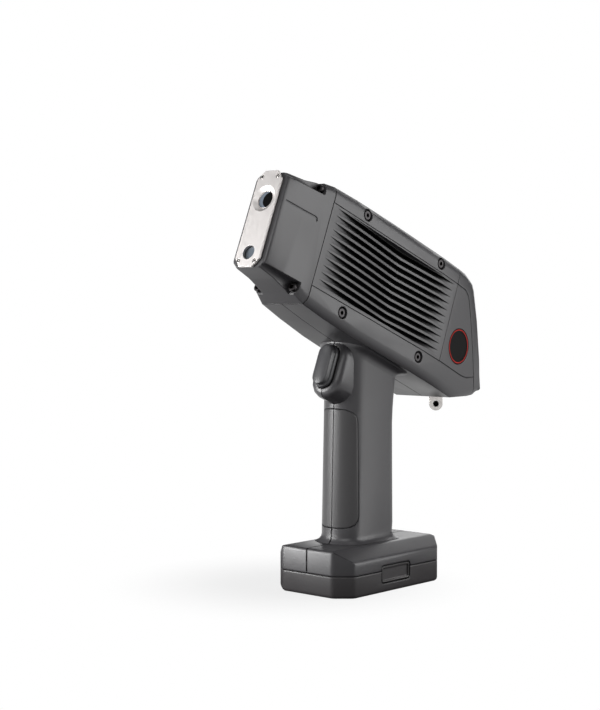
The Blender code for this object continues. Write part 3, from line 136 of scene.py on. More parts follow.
def place_from(tree, origin, tilt=TILT):
    """Place measured from a world origin, on the case's own axes unless the tilt is nought."""
    place = node(tree, "ShaderNodeTexCoord")
    shift = -(Matrix.Rotation(tilt, 3, "X") @ Vector(origin))
    turned = node(tree, "ShaderNodeMapping", {"Vector": place.outputs["Object"], "Rotation": (tilt, 0, 0),
                                              "Location": shift})
    return turned.outputs["Vector"]


def off_axis(tree, place, across):
    """Distance from an axis; across holds a 1 for each direction square to it."""
    flat = node(tree, "ShaderNodeVectorMath", {0: place, 1: across}, operation="MULTIPLY")
    radius = node(tree, "ShaderNodeVectorMath", {0: flat.outputs["Vector"]}, operation="LENGTH")
    return radius.outputs["Value"]


print("mid grey in linear light:", [round(c, 3) for c in colour("#808080")])

# %% [markdown]
# ## Moulded plastic
# The case halves are injection-moulded PC-ABS with a fine spark-eroded grain. Seen close, the grain
# breaks a highlight into a satin glow. A noise of about half a millimetre drives a faint bump, and a
# much larger noise lets the gloss wander a little, as it does where plastic flowed into a mould. No
# mould makes a knife edge, so a Bevel node rounds the light, not the shape, over about a millimetre at
# every edge, and that draws the thin bright lines along rims and steps. A flat face can also be given
# a crown: its normals lean outwards from the middle, so a lamp shades off across it.

# %% A recipe for moulded plastic
CLOUD_SCALE = 22.0
DARKER_SHARE = 0.9


def crowned(tree, normal, centre, bend):
    """Leans a normal outwards by the distance from a centre, times a bend for each direction."""
    place = node(tree, "ShaderNodeTexCoord")
    aside = node(tree, "ShaderNodeVectorMath", {0: place.outputs["Object"], 1: centre}, operation="SUBTRACT")
    lean = node(tree, "ShaderNodeVectorMath", {0: aside.outputs["Vector"], 1: bend, 2: normal},
                operation="MULTIPLY_ADD")
    return node(tree, "ShaderNodeVectorMath", {0: lean.outputs["Vector"]}, operation="NORMALIZE").outputs[0]


def moulded(name, shade, roughness, grain_mm, depth_mm, edge_mm, drift=0.05, crown=None):
    """Grained plastic whose gloss drifts about a roughness and whose edges look rounded."""
    material, tree, shader = started(name)
    shader.inputs["IOR"].default_value = 1.5
    place = node(tree, "ShaderNodeTexCoord").outputs["Object"]
    grain = node(tree, "ShaderNodeTexNoise", {"Vector": place, "Scale": 1 / (grain_mm * MM), "Detail": 2.0,
                                              "Roughness": 0.6})
    cloud = node(tree, "ShaderNodeTexNoise", {"Vector": place, "Scale": CLOUD_SCALE, "Detail": 3.0})
    gloss = node(tree, "ShaderNodeMapRange", {"Value": cloud.outputs["Fac"], "From Min": 0.3, "From Max": 0.7,
                                              "To Min": roughness - drift, "To Max": roughness + drift})
    darker = tuple(c * DARKER_SHARE for c in colour(shade)[:3]) + (1,)
    tint = node(tree, "ShaderNodeMix", {"Factor": cloud.outputs["Fac"], "A": colour(shade), "B": darker},
                data_type="RGBA")
    edge = node(tree, "ShaderNodeBevel", {"Radius": edge_mm * MM}, samples=8, name="edge")
    facing = crowned(tree, edge.outputs["Normal"], *crown) if crown else edge.outputs["Normal"]
    bump = node(tree, "ShaderNodeBump", {"Strength": 0.35, "Distance": depth_mm * MM,
                                         "Height": grain.outputs["Fac"], "Normal": facing})
    tree.links.new(tint.outputs["Result"], shader.inputs["Base Color"])
    tree.links.new(gloss.outputs["Result"], shader.inputs["Roughness"])
    tree.links.new(bump.outputs["Normal"], shader.inputs["Normal"])
    return material


case_grey = moulded("grained_pc_abs", "#424143", 0.35, 0.45, 0.03, 0.8)
battery_grey = moulded("coarse_grained_abs", "#413f40", 0.38, 0.6, 0.05, 1.2)
rubber = moulded("thermoplastic_rubber", "#403f40", 0.36, 0.5, 0.02, 1.0, 0.04)
button_rubber = moulded("silicone_rubber", "#434345", 0.34, 0.5, 0.012, 1.0, 0.04)
trigger_crown = (middle_of("trigger")[0], (45, 0, 6))
trigger_rubber = moulded("silicone_rubber_with_painted_gap_shade", "#434345", 0.34, 0.5, 0.012, 1.5, 0.04,
                         trigger_crown)
sink_paint = moulded("powder_coated_aluminium", "#424143", 0.38, 0.5, 0.03, 0.3)
print("moulded and coated:", [m.name for m in (case_grey, battery_grey, rubber, trigger_rubber, button_rubber,
                                               sink_paint)])

# %% [markdown]
# ## Painted shade in gaps and grooves
# A parting line is black in a photograph because light that goes into it does not come back. At the
# mouth of such a gap the rounded normal turns away from the true one, so comparing the two finds the
# line, and it is painted dark and dull, as painted shade. The grooves of a heat sink are found by how
# much of the sky a point can see, and their hidden parts get the same painted shade. The foot's edges
# are rounder than the case's, by height. Behind the trigger the rubber is painted black from a station
# on the case's axis, a painted shade for the gap round the trigger, and each battery latch gets a black
# band round its face, a painted shade for the gap round the latch.

# %% Painted shade in gaps, grooves and round the latches, round feet
# painted shade: the black laid in the gap behind the trigger and round each latch's face
PAINTED_GAP_BLACK = "#0b0a0a"
OPEN_SHINE, HIDDEN_SHINE = 0.5, 0.05
FOOT_LOW, FOOT_HIGH = 0.045, 0.06
FADE_MM = 0.3


def shadowed(tree, seen, hidden_at, open_at, shade):
    """Paints shade on what is hidden and dulls it; seen is a measure that rises from hidden to open."""
    hidden = node(tree, "ShaderNodeMapRange", {"Value": seen, "From Min": hidden_at, "From Max": open_at,
                                               "To Min": 1.0, "To Max": 0.0}).outputs["Result"]
    painted(tree, hidden, shade)
    shine = node(tree, "ShaderNodeMapRange", {"Value": hidden, "To Min": OPEN_SHINE, "To Max": HIDDEN_SHINE})
    tree.links.new(shine.outputs["Result"], tree.nodes["Principled BSDF"].inputs["Specular IOR Level"])


def dark_gaps(material, shade):
    tree = material.node_tree
    surface = node(tree, "ShaderNodeNewGeometry")
    likeness = node(tree, "ShaderNodeVectorMath", {0: tree.nodes["edge"].outputs["Normal"],
                                                   1: surface.outputs["Normal"]}, operation="DOT_PRODUCT")
    shadowed(tree, likeness.outputs["Value"], 0.80, 0.90, shade)


def dark_grooves(material, shade, reach_mm):
    tree = material.node_tree
    sky = node(tree, "ShaderNodeAmbientOcclusion", {"Distance": reach_mm * MM}, samples=8)
    shadowed(tree, sky.outputs["AO"], 0.35, 0.8, shade)


def round_foot(material, foot_edge_mm):
    """Gives the low part of a piece a wider rounding than the rest."""
    tree = material.node_tree
    radius = tree.nodes["edge"].inputs["Radius"]
    place = node(tree, "ShaderNodeTexCoord")
    height = node(tree, "ShaderNodeSeparateXYZ", {0: place.outputs["Object"]})
    wide = node(tree, "ShaderNodeMapRange", {"Value": height.outputs["Z"], "From Min": FOOT_LOW,
                                             "From Max": FOOT_HIGH, "To Min": foot_edge_mm * MM,
                                             "To Max": radius.default_value})
    tree.links.new(wide.outputs["Result"], radius)


# Paints shade: black behind a station, where the trigger sits in its gap.
def shade_behind_trigger(material, station_mm):
    tree = material.node_tree
    station = node(tree, "ShaderNodeSeparateXYZ", {0: place_from(tree, NOSE)})
    gap_behind_trigger = node(tree, "ShaderNodeMapRange", {"Value": station.outputs["Y"], "From Min": station_mm * MM,
                                              "From Max": (station_mm + FADE_MM) * MM})
    painted(tree, gap_behind_trigger.outputs["Result"], PAINTED_GAP_BLACK)


def with_gap_shade(base, name, middle, half, gap_band_mm):
    """A copy of a material with a black band of painted shade round the face of a box."""
    material = base.copy()
    material.name = name
    tree = material.node_tree
    place = node(tree, "ShaderNodeTexCoord")
    centred = node(tree, "ShaderNodeVectorMath", {0: place.outputs["Object"], 1: middle},
                   operation="SUBTRACT")
    aside = node(tree, "ShaderNodeVectorMath", {0: centred.outputs["Vector"]}, operation="ABSOLUTE")
    face = tuple(h - gap_band_mm * MM for h in half)
    short = node(tree, "ShaderNodeVectorMath", {0: aside.outputs["Vector"], 1: face}, operation="SUBTRACT")
    parts = node(tree, "ShaderNodeSeparateXYZ", {0: short.outputs["Vector"]})
    past = node(tree, "ShaderNodeMath", {0: parts.outputs["Y"], 1: parts.outputs["Z"]}, operation="MAXIMUM")
    gap_band = node(tree, "ShaderNodeMath", {0: past.outputs[0], 1: 0.0}, operation="GREATER_THAN")
    painted(tree, gap_band.outputs[0], PAINTED_GAP_BLACK)
    return material


# painted shade where the rounded normal leaves the true one, at parting lines and edges
dark_gaps(case_grey, "#0e0d0d")
round_foot(case_grey, 1.6)
# painted shade in the heat sink's grooves, where a point sees little sky
dark_grooves(sink_paint, "#030303", 6.0)
# painted shade: the back of the trigger is black where it sits in the gap behind it
shade_behind_trigger(trigger_rubber, 92.4)
# painted shade: a black band round each latch's face stands for the gap round it
latch_grey = with_gap_shade(battery_grey, "coarse_grained_abs_with_painted_gap_shade", *middle_of("left_latch"), 0.8)
print("the latches wear", latch_grey.name)

# %% [markdown]
# ## Metals
# The nose plate is stainless steel, ground in one direction, so its fine scratches run up and down
# the plate and smear a highlight sideways. Stretching a noise along one axis draws them. The cone
# round the measuring window is turned after grinding: inside its radius, measured from the window's
# axis, the surface is a little rougher and catches the lamps more softly. The screws are phosphated
# dark grey and the nose bolts are black oxide, both satin. The measuring head's block is milled
# aluminium, and the tube's housing is turned brass.

# %% Ground, turned and blackened metal
CONE_RADIUS_MM, CONE_FADE_MM, CONE_ROUGHER = 8.6, 0.2, 1.1
SCRATCH_SCALE = 900.0


def ground_metal(name, shade, roughness, stretch=(1, 1, 1), spread=0.08, turned_cone=False):
    """Metal with scratches; a stretch under one draws them out along that axis of the case."""
    material, tree, shader = started(name)
    shader.inputs["Base Color"].default_value = colour(shade)
    shader.inputs["Metallic"].default_value = 1
    place = node(tree, "ShaderNodeTexCoord")
    turned = node(tree, "ShaderNodeMapping", {"Vector": place.outputs["Object"], "Rotation": (TILT, 0, 0),
                                              "Scale": stretch})
    scratch = node(tree, "ShaderNodeTexNoise", {"Vector": turned.outputs["Vector"], "Scale": SCRATCH_SCALE,
                                                "Detail": 4.0})
    gloss = node(tree, "ShaderNodeMapRange", {"Value": scratch.outputs["Fac"], "From Min": 0.3,
                                              "From Max": 0.7, "To Min": roughness - spread,
                                              "To Max": roughness + spread})
    edge = node(tree, "ShaderNodeBevel", {"Radius": 0.3 * MM}, samples=6)
    bump = node(tree, "ShaderNodeBump", {"Strength": 0.12, "Distance": 0.02 * MM,
                                         "Height": scratch.outputs["Fac"], "Normal": edge.outputs["Normal"]})
    rough = gloss.outputs["Result"]
    if turned_cone:
        radius = off_axis(tree, place_from(tree, at(0, 0, WINDOW_H)), (1, 0, 1))
        cone = node(tree, "ShaderNodeMapRange", {"Value": radius, "From Min": CONE_RADIUS_MM * MM,
                                                 "From Max": (CONE_RADIUS_MM + CONE_FADE_MM) * MM,
                                                 "To Min": CONE_ROUGHER, "To Max": 1.0})
        both_rough = node(tree, "ShaderNodeMath", {0: rough, 1: cone.outputs["Result"]}, operation="MULTIPLY")
        rough = both_rough.outputs[0]
    tree.links.new(rough, shader.inputs["Roughness"])
    tree.links.new(bump.outputs["Normal"], shader.inputs["Normal"])
    return material


plate_steel = ground_metal("ground_stainless", "#d8d4d2", 0.46, (1, 1, 0.06), 0.05, True)
bright_steel = ground_metal("polished_stainless", "#d4d0cd", 0.2)
screw_steel = ground_metal("phosphated_steel", "#464445", 0.42)
bolt_steel = ground_metal("black_oxide_steel", "#3a3839", 0.38)
# painted shade: near black for the screws' sockets; the lanyard plug is made in it too
socket_shade = ground_metal("painted_socket_shade_and_black_plug", "#0c0b0b", 0.6)
machined = ground_metal("machined_aluminium", "#c9cacb", 0.32, (1, 0.1, 1))
brass = ground_metal("turned_brass", "#c8a566", 0.3)
print("metals:", [m.name for m in (plate_steel, bright_steel, screw_steel, bolt_steel, socket_shade, machined,
                                   brass)])

# %% [markdown]
# ## Glass, film and print
# Glass and gloss plastic are smooth under a thin clear coat, and a slow noise smears their gloss as
# fingers do. The inlay in each side is a bare matt black disc with a thin red line near its rim, found
# by the distance from the disc's axis, which lies across the case. The measuring film is thin
# polypropylene and hardly shines. Through it one sees the tube's grey snout on one side; on the other,
# a round black patch beside the window's axis is painted shade, standing for the bore's wall in shadow.

# %% Glass, print and film
SMEAR_SCALE, SMEAR = 60.0, 0.08


def glossy(name, shade, roughness, coat=0.4, shine=0.5):
    material, tree, shader = started(name)
    shader.inputs["Base Color"].default_value = colour(shade)
    shader.inputs["IOR"].default_value = 1.5
    shader.inputs["Specular IOR Level"].default_value = shine
    shader.inputs["Coat Weight"].default_value = coat
    shader.inputs["Coat Roughness"].default_value = 0.05
    place = node(tree, "ShaderNodeTexCoord")
    smear = node(tree, "ShaderNodeTexNoise", {"Vector": place.outputs["Object"], "Scale": SMEAR_SCALE,
                                              "Detail": 3.0})
    gloss = node(tree, "ShaderNodeMapRange", {"Value": smear.outputs["Fac"], "To Min": roughness,
                                              "To Max": roughness + SMEAR})
    tree.links.new(gloss.outputs["Result"], shader.inputs["Roughness"])
    return material


def red_ring(material, shade, centre, ring_mm, width_mm):
    tree = material.node_tree
    radius = off_axis(tree, place_from(tree, centre, 0), (0, 1, 1))
    ring = node(tree, "ShaderNodeMath", {0: radius, 1: ring_mm * MM, 2: width_mm * MM / 2},
                operation="COMPARE")
    painted(tree, ring.outputs[0], shade)


# Paints shade: a round black patch about an axis.
def painted_bore_shade(material, shade, centre, bore_shade_mm):
    tree = material.node_tree
    radius = off_axis(tree, place_from(tree, centre), (1, 0, 1))
    bore_shade = node(tree, "ShaderNodeMapRange", {"Value": radius, "From Min": bore_shade_mm * MM,
                                             "From Max": (bore_shade_mm + FADE_MM) * MM,
                                             "To Min": 1.0, "To Max": 0.0})
    painted(tree, bore_shade.outputs["Result"], shade)


badge_print = glossy("printed_matt_disc", "#0d0c0c", 0.5, 0.0, 0.08)
red_ring(badge_print, "#b5302b", middle_of("left_badge")[0], 11.2, 0.7)
film = glossy("polypropylene_film_with_painted_bore_shade", "#68707a", 0.10, 0.0, 0.12)
# painted shade: the bore's wall beside the window, as a black patch on the film
painted_bore_shade(film, "#050505", at(2.6, 0, WINDOW_H), 4.9)
window_glass = glossy("coated_window_glass", "#5d656e", 0.12)
screen_glass = glossy("screen_glass", "#101214", 0.05)
gloss_black = glossy("gloss_black_abs", "#161415", 0.2)
cell_wrap = glossy("cell_wrap", "#26324a", 0.35)
board = glossy("solder_mask", "#14532e", 0.3)
print("glass and gloss:", [m.name for m in (badge_print, film, window_glass, screen_glass, gloss_black,
                                            cell_wrap, board)])

# %% [markdown]
# ## Softening the CAD pieces
# A CAD mesh is made of loose flat triangles. A short tree of Geometry Nodes welds them, marks only the
# edges that turn by more than a chosen angle as sharp, and shades the rest smooth. It is added to each
# CAD node as a modifier, so the frame's own vertices stay as they are. The nose plate's holes have
# finer facets than its bevels, so it gets a smaller angle.

# %% A tree that welds and shades by angle
WELD = 0.003 * MM


def soft_tree(name, degrees):
    tree = bpy.data.node_groups.new(name, "GeometryNodeTree")
    tree.interface.new_socket("Geometry", in_out="INPUT", socket_type="NodeSocketGeometry")
    tree.interface.new_socket("Geometry", in_out="OUTPUT", socket_type="NodeSocketGeometry")
    start = tree.nodes.new("NodeGroupInput")
    end = tree.nodes.new("NodeGroupOutput")
    weld = node(tree, "GeometryNodeMergeByDistance", {"Geometry": start.outputs[0], "Distance": WELD})
    angle = node(tree, "GeometryNodeInputMeshEdgeAngle")
    flat = node(tree, "FunctionNodeCompare", {0: angle.outputs["Unsigned Angle"], 1: math.radians(degrees)},
                data_type="FLOAT", operation="LESS_EQUAL")
    edges = node(tree, "GeometryNodeSetShadeSmooth", {"Geometry": weld.outputs[0],
                                                      "Shade Smooth": flat.outputs[0]}, domain="EDGE")
    faces = node(tree, "GeometryNodeSetShadeSmooth", {"Geometry": edges.outputs[0], "Shade Smooth": True},
                 domain="FACE")
    tree.links.new(faces.outputs[0], end.inputs[0])
    return tree


soft_edges = soft_tree("weld_and_smooth", 32)
crisp_edges = soft_tree("weld_and_smooth_round_holes", 18)
print("shading trees:", soft_edges.name, crisp_edges.name)

# %% [markdown]
# ## Dressing the pieces
# Every CAD node gets its finish here, the hidden ones too, since some come into view when the battery
# is drawn out.

# %% Give every piece its finish
def dress(names, material, tree=soft_edges):
    """Gives CAD nodes their finish and smooth shading."""
    for name in names:
        piece = nodes[name]
        piece.data.materials.clear()
        piece.data.materials.append(material)
        shade = piece.modifiers.new("shading", "NODES")
        shade.node_group = tree


def both(name):
    return ["left_" + name, "right_" + name]


dress(both("housing") + ["nose_housing", "rear_housing"] + both("rear_panel"), case_grey)
dress(both("heat_sink"), sink_paint)
dress(["nose_plate"], plate_steel, crisp_edges)
dress(["lanyard_eye", "detector", "trigger_spring"] + both("latch_spring"), bright_steel)
dress(both("grip_pad"), rubber)
dress(["trigger"], trigger_rubber)
dress(["power_button"], button_rubber)
dress(["battery_base"], battery_grey)
dress(both("latch"), latch_grey)
dress(["analysis_window"], film)
dress(["camera_window"], window_glass)
dress(["display_glass"], screen_glass)
dress(both("badge"), badge_print)
dress(["camera_module", "high_voltage_supply", "display_module", "trigger_switch", "battery_contacts"],
      gloss_black)
dress(["nose_block", "filter_wheel"], machined)
dress(["xray_tube"], brass)
dress(["main_board"], board)
dress(["battery_stem"], cell_wrap)
dress(["filter_motor"] + [n for n in nodes if "screw" in n or "bolt" in n], screw_steel)
print("without a finish:", [n for n, o in nodes.items() if not o.data.materials])

# %% [markdown]
# ## Running a tree
# Screws and springs are both made by a tree of Geometry Nodes with named inputs. One function sets the
# inputs, evaluates the tree once and keeps the plain mesh that comes out, and one stands that mesh in
# the scene on the body that carries it, in place of the CAD nodes that it replaces.

# %% Run a tree, and stand what it makes
def made_by(tree, name, start, values):
    """Runs a tree on a mesh and returns the mesh that it makes; values go by the inputs' names."""
    holder = bpy.data.objects.new(name, start)
    bpy.context.scene.collection.objects.link(holder)
    run = holder.modifiers.new("tree", "NODES")
    run.node_group = tree
    for socket in tree.interface.items_tree:
        if socket.in_out == "INPUT" and socket.name in values:
            run[socket.identifier] = values[socket.name]
    bpy.context.view_layer.update()
    mesh = bpy.data.meshes.new_from_object(holder.evaluated_get(bpy.context.evaluated_depsgraph_get()))
    bpy.data.objects.remove(holder)
    return mesh


def stood(name, mesh, body, replaced=()):
    piece = bpy.data.objects.new(name, mesh)
    bpy.context.scene.collection.objects.link(piece)
    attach(piece, body)
    if replaced:
        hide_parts(*replaced)
    return piece


def group_input(tree, sizes, materials):
    """Adds size and material inputs to a tree and returns their sockets by name."""
    for names, kind in ((sizes, "NodeSocketFloat"), (materials, "NodeSocketMaterial")):
        for name in names:
            tree.interface.new_socket(name, in_out="INPUT", socket_type=kind)
    return tree.nodes.new("NodeGroupInput").outputs


print("ready to run trees")

# %% [markdown]
# ## Socket-head screws
# Eight screws close the case, four bolts hold the nose and four small screws hold its plate. They are
# all one shape in three sizes: a round head with a chamfered rim, a six-sided socket with a small
# lead-in cone, and a shank. Turning one by hand and copying it would work, but a Geometry Nodes tree
# with the sizes as its inputs makes every size from one recipe. Cones and cylinders are joined and cut
# inside the tree, and the result stands on points that carry the direction each screw faces.

# %% A tree for socket-head screws
SCREW_SIZES = ("Head radius", "Head height", "Chamfer", "Socket radius", "Socket depth", "Shank radius",
               "Shank length")
HEAD_SIDES, SHANK_SIDES = 36, 24
OVERLAP, STAND_OUT = 0.1 * MM, 0.5 * MM
LEAD_WIDER, LEAD_NARROWER, LEAD_DEPTH, LEAD_BASE = 0.2 * MM, -0.1 * MM, 0.3 * MM, -0.15 * MM


def screw_tree():
    tree = bpy.data.node_groups.new("socket_head_screws", "GeometryNodeTree")
    tree.interface.new_socket("Places", in_out="INPUT", socket_type="NodeSocketGeometry")
    size = group_input(tree, SCREW_SIZES, ("Steel", "Socket shade"))
    tree.interface.new_socket("Screws", in_out="OUTPUT", socket_type="NodeSocketGeometry")
    end = tree.nodes.new("NodeGroupOutput")

    def sum_of(a, b, operation="ADD"):
        return node(tree, "ShaderNodeMath", {0: a, 1: b}, operation=operation).outputs[0]

    def frustum(sides, top, bottom, depth, base):
        """A cone between two radii whose lower face lies at a height."""
        cone = node(tree, "GeometryNodeMeshCone", {"Vertices": sides, "Radius Top": top,
                                                   "Radius Bottom": bottom, "Depth": depth})
        lift = node(tree, "ShaderNodeCombineXYZ", {"Z": base})
        return node(tree, "GeometryNodeTransform", {"Geometry": cone.outputs["Mesh"],
                                                    "Translation": lift.outputs[0]}).outputs[0]

    def union_of(*parts):
        whole = node(tree, "GeometryNodeMeshBoolean", operation="UNION", solver="EXACT")
        for part in parts:
            tree.links.new(part, whole.inputs["Mesh 2"])
        return whole.outputs[0]

    radius, height, chamfer = size["Head radius"], size["Head height"], size["Chamfer"]
    head = frustum(HEAD_SIDES, radius, radius, sum_of(height, chamfer, "SUBTRACT"),
                   sum_of(0, height, "SUBTRACT"))
    rim = frustum(HEAD_SIDES, sum_of(radius, chamfer, "SUBTRACT"), radius, chamfer,
                  sum_of(0, chamfer, "SUBTRACT"))
    length = size["Shank length"]
    shank = frustum(SHANK_SIDES, size["Shank radius"], size["Shank radius"], sum_of(length, OVERLAP),
                    sum_of(0, sum_of(height, length), "SUBTRACT"))
    socket, depth = size["Socket radius"], size["Socket depth"]
    hexagon = frustum(6, socket, socket, sum_of(depth, STAND_OUT), sum_of(0, depth, "SUBTRACT"))
    lead_in = frustum(SHANK_SIDES, sum_of(socket, LEAD_WIDER), sum_of(socket, LEAD_NARROWER), LEAD_DEPTH,
                      LEAD_BASE)
    steel = node(tree, "GeometryNodeSetMaterial", {"Geometry": union_of(head, rim, shank),
                                                   "Material": size["Steel"]})
    # painted shade: the socket and its lead-in take the near-black socket shade
    shade = node(tree, "GeometryNodeSetMaterial", {"Geometry": union_of(hexagon, lead_in),
                                                   "Material": size["Socket shade"]})
    screw = node(tree, "GeometryNodeMeshBoolean", {"Mesh 1": steel.outputs[0], "Mesh 2": shade.outputs[0]},
                 operation="DIFFERENCE", solver="EXACT")
    facing = node(tree, "GeometryNodeInputNamedAttribute", {"Name": "facing"}, data_type="FLOAT_VECTOR")
    turn = node(tree, "FunctionNodeAlignRotationToVector", {"Vector": facing.outputs["Attribute"]}, axis="Z")
    placed = node(tree, "GeometryNodeInstanceOnPoints", {"Points": size["Places"],
                                                         "Instance": screw.outputs[0],
                                                         "Rotation": turn.outputs[0]})
    real = node(tree, "GeometryNodeRealizeInstances", {"Geometry": placed.outputs[0]})
    tree.links.new(real.outputs[0], end.inputs[0])
    return tree


screws = screw_tree()
print("screw tree inputs:", [s.name for s in screws.interface.items_tree if s.in_out == "INPUT"])

# %% [markdown]
# ## Standing the screws
# The side screws take their places from the CAD nodes that they replace. The nose bolts and the plate's
# screws sit at the corners of two rectangles on the case's own axes. The tree's cuts leave a few
# slivers, so each mesh is cleaned before it is kept.

# %% Stand the screws in their places
SIDE_SCREW_MM = (2.9, 1.9, 0.2, 1.3, 1.4, 1.5, 8.0)
NOSE_BOLT_MM = (2.75, 2.6, 0.3, 1.45, 1.5, 1.4, 13.5)
PLATE_SCREW_MM = (1.42, 0.7, 0.2, 0.5, 0.45, 0.75, 3.2)
BOLT_X, BOLT_S, BOLT_H = 14.4, 27.3, 33.0
PLATE_SCREW_X, PLATE_SCREW_S, PLATE_SCREW_H = 6.65, -1.25, 28.1
SLIVER, SHORT_EDGE = 0.004 * MM, 0.002 * MM
SHARP_ON_SCREWS = math.radians(25)


def cleaned(mesh):
    """Merges slivers and marks the sharp edges."""
    shape = bmesh.new()
    shape.from_mesh(mesh)
    bmesh.ops.remove_doubles(shape, verts=shape.verts, dist=SLIVER)
    bmesh.ops.dissolve_degenerate(shape, edges=shape.edges, dist=SHORT_EDGE)
    for edge in shape.edges:
        edge.smooth = len(edge.link_faces) == 2 and edge.calc_face_angle(0) < SHARP_ON_SCREWS
    for face in shape.faces:
        face.smooth = True
    shape.to_mesh(mesh)
    shape.free()
    mesh.validate()
    return mesh


def stand_screws(name, places, sizes_mm, steel, replaced):
    """Makes one mesh of equal screws; places are pairs of a head's top centre and the way it faces."""
    points = bpy.data.meshes.new(name + "_places")
    points.from_pydata([tuple(place) for place, way in places], [], [])
    facing = points.attributes.new("facing", "FLOAT_VECTOR", "POINT")
    facing.data.foreach_set("vector", [c for place, way in places for c in way])
    values = {size: mm * MM for size, mm in zip(SCREW_SIZES, sizes_mm)}
    values.update({"Steel": steel, "Socket shade": socket_shade})
    mesh = cleaned(made_by(screws, name + "_places", points, values))
    return stood(name, mesh, "housing", replaced)


def corners(x, s, h):
    """Four places round the case's middle line, facing forwards."""
    return [(at(side * x, s, end * h), FORWARDS) for side in (1, -1) for end in (1, -1)]


side_names = [f"{side}_side_screw_{number}" for side in ("left", "right") for number in range(1, 5)]
side_places = []
for name in side_names:
    middle, half = middle_of(name)
    sign = 1 if name.startswith("left") else -1
    side_places.append((middle + Vector((sign * half.x, 0, 0)), (sign, 0, 0)))
side_screws = stand_screws("side_screws", side_places, SIDE_SCREW_MM, screw_steel, side_names)
nose_bolts = stand_screws("nose_bolts", corners(BOLT_X, BOLT_S, BOLT_H), NOSE_BOLT_MM, bolt_steel,
                          [f"nose_bolt_{n}" for n in range(1, 5)])
plate_screws = stand_screws("plate_screws", corners(PLATE_SCREW_X, PLATE_SCREW_S, PLATE_SCREW_H),
                            PLATE_SCREW_MM, bright_steel, [f"nose_plate_screw_{n}" for n in range(1, 5)])
for piece in (side_screws, nose_bolts, plate_screws):
    print(piece.name, len(piece.data.polygons), "faces")

# %% [markdown]
# ## Turned rings
# A thin polished ring holds the film in the measuring window, and a black plug fills the lanyard eye,
# which reads as a dark spot in the photograph. Both are turned parts, so one profile spun round an
# axis makes each of them. The eye hangs with its hole towards the camera.

# %% Spin a profile round an axis
CAMERA_TURN = math.radians(41.84)
SHARP_ON_RINGS = math.radians(30)
RING_MM = [(5.35, 0.05), (5.9, 0.05), (5.9, 0.65), (5.65, 0.65)]
PLUG_MM = [(0, -0.5), (1.3, -0.8), (2.0, -1.2), (2.0, 1.2), (1.3, 0.8), (0, 0.5)]
EYE_CENTRE = Vector((0, 0.083, 0.115))


def spun(profile_mm, centre, axis, material, steps):
    """A mesh of a closed profile of radius and height pairs, turned round an axis through a centre."""
    place = Matrix.Translation(centre) @ Vector(axis).to_track_quat("Z", "Y").to_matrix().to_4x4()
    shape = bmesh.new()
    rings = []
    for step in range(steps):
        angle = 2 * math.pi * step / steps
        ring = [Vector((r * math.cos(angle), r * math.sin(angle), h)) * MM for r, h in profile_mm]
        rings.append([shape.verts.new(place @ point) for point in ring])
    count = len(profile_mm)
    for step in range(steps):
        a, b = rings[step], rings[(step + 1) % steps]
        for k in range(count):
            shape.faces.new((a[k], b[k], b[(k + 1) % count], a[(k + 1) % count]))
    bmesh.ops.remove_doubles(shape, verts=shape.verts, dist=1e-7)
    bmesh.ops.recalc_face_normals(shape, faces=shape.faces)
    for face in shape.faces:
        face.smooth = True
    for edge in shape.edges:
        edge.smooth = edge.calc_face_angle(0) < SHARP_ON_RINGS
    mesh = bpy.data.meshes.new("turned")
    shape.to_mesh(mesh)
    shape.free()
    mesh.materials.append(material)
    return mesh


glass = nodes["analysis_window"]
front_mm = min((INTO_BODY @ (glass.matrix_world @ v.co - NOSE)).y for v in glass.data.vertices) / MM
ring_mesh = spun(RING_MM, at(0, front_mm, WINDOW_H), FORWARDS, bright_steel, 48)
film_ring = stood("film_ring", ring_mesh, "housing")
eye_axis = (math.sin(CAMERA_TURN), -math.cos(CAMERA_TURN), 0)
plug_mesh = spun(PLUG_MM, EYE_CENTRE, eye_axis, socket_shade, 32)
eye_plug = stood("lanyard_plug", plug_mesh, "lanyard_eye")
print(film_ring.name, "in front of", round(front_mm, 2), "mm,", eye_plug.name, "in the eye")

# %% [markdown]
# ## Springs
# There are three compression springs, each between a moving piece and its seat. Each is a round wire
# on a spiral, so a spiral curve swept with a small circle makes all three from one tree. A stiff copy
# would pass through the piece that presses it, and each spring here keeps its full length as its joint
# moves.

# %% A tree for coil springs
SPRING_SIZES = ("Coil radius", "Wire radius", "Length", "Turns")


def spring_tree():
    tree = bpy.data.node_groups.new("coil_springs", "GeometryNodeTree")
    tree.interface.new_socket("Geometry", in_out="INPUT", socket_type="NodeSocketGeometry")
    size = group_input(tree, SPRING_SIZES, ("Steel",))
    tree.interface.new_socket("Spring", in_out="OUTPUT", socket_type="NodeSocketGeometry")
    end = tree.nodes.new("NodeGroupOutput")
    wire = size["Wire radius"]
    rise = node(tree, "ShaderNodeMath", {0: wire, 1: -2.0, 2: size["Length"]}, operation="MULTIPLY_ADD")
    helix = node(tree, "GeometryNodeCurveSpiral", {"Resolution": 24, "Rotations": size["Turns"],
                                                   "Start Radius": size["Coil radius"],
                                                   "End Radius": size["Coil radius"],
                                                   "Height": rise.outputs[0]})
    lift = node(tree, "ShaderNodeCombineXYZ", {"Z": wire})
    raised = node(tree, "GeometryNodeTransform", {"Geometry": helix.outputs[0],
                                                  "Translation": lift.outputs[0]})
    circle = node(tree, "GeometryNodeCurvePrimitiveCircle", {"Resolution": 10, "Radius": wire})
    swept = node(tree, "GeometryNodeCurveToMesh", {"Curve": raised.outputs[0],
                                                   "Profile Curve": circle.outputs[0], "Fill Caps": True})
    real = node(tree, "GeometryNodeRealizeInstances", {"Geometry": swept.outputs[0]})
    steel = node(tree, "GeometryNodeSetMaterial", {"Geometry": real.outputs[0], "Material": size["Steel"]})
    tree.links.new(steel.outputs[0], end.inputs[0])
    return tree


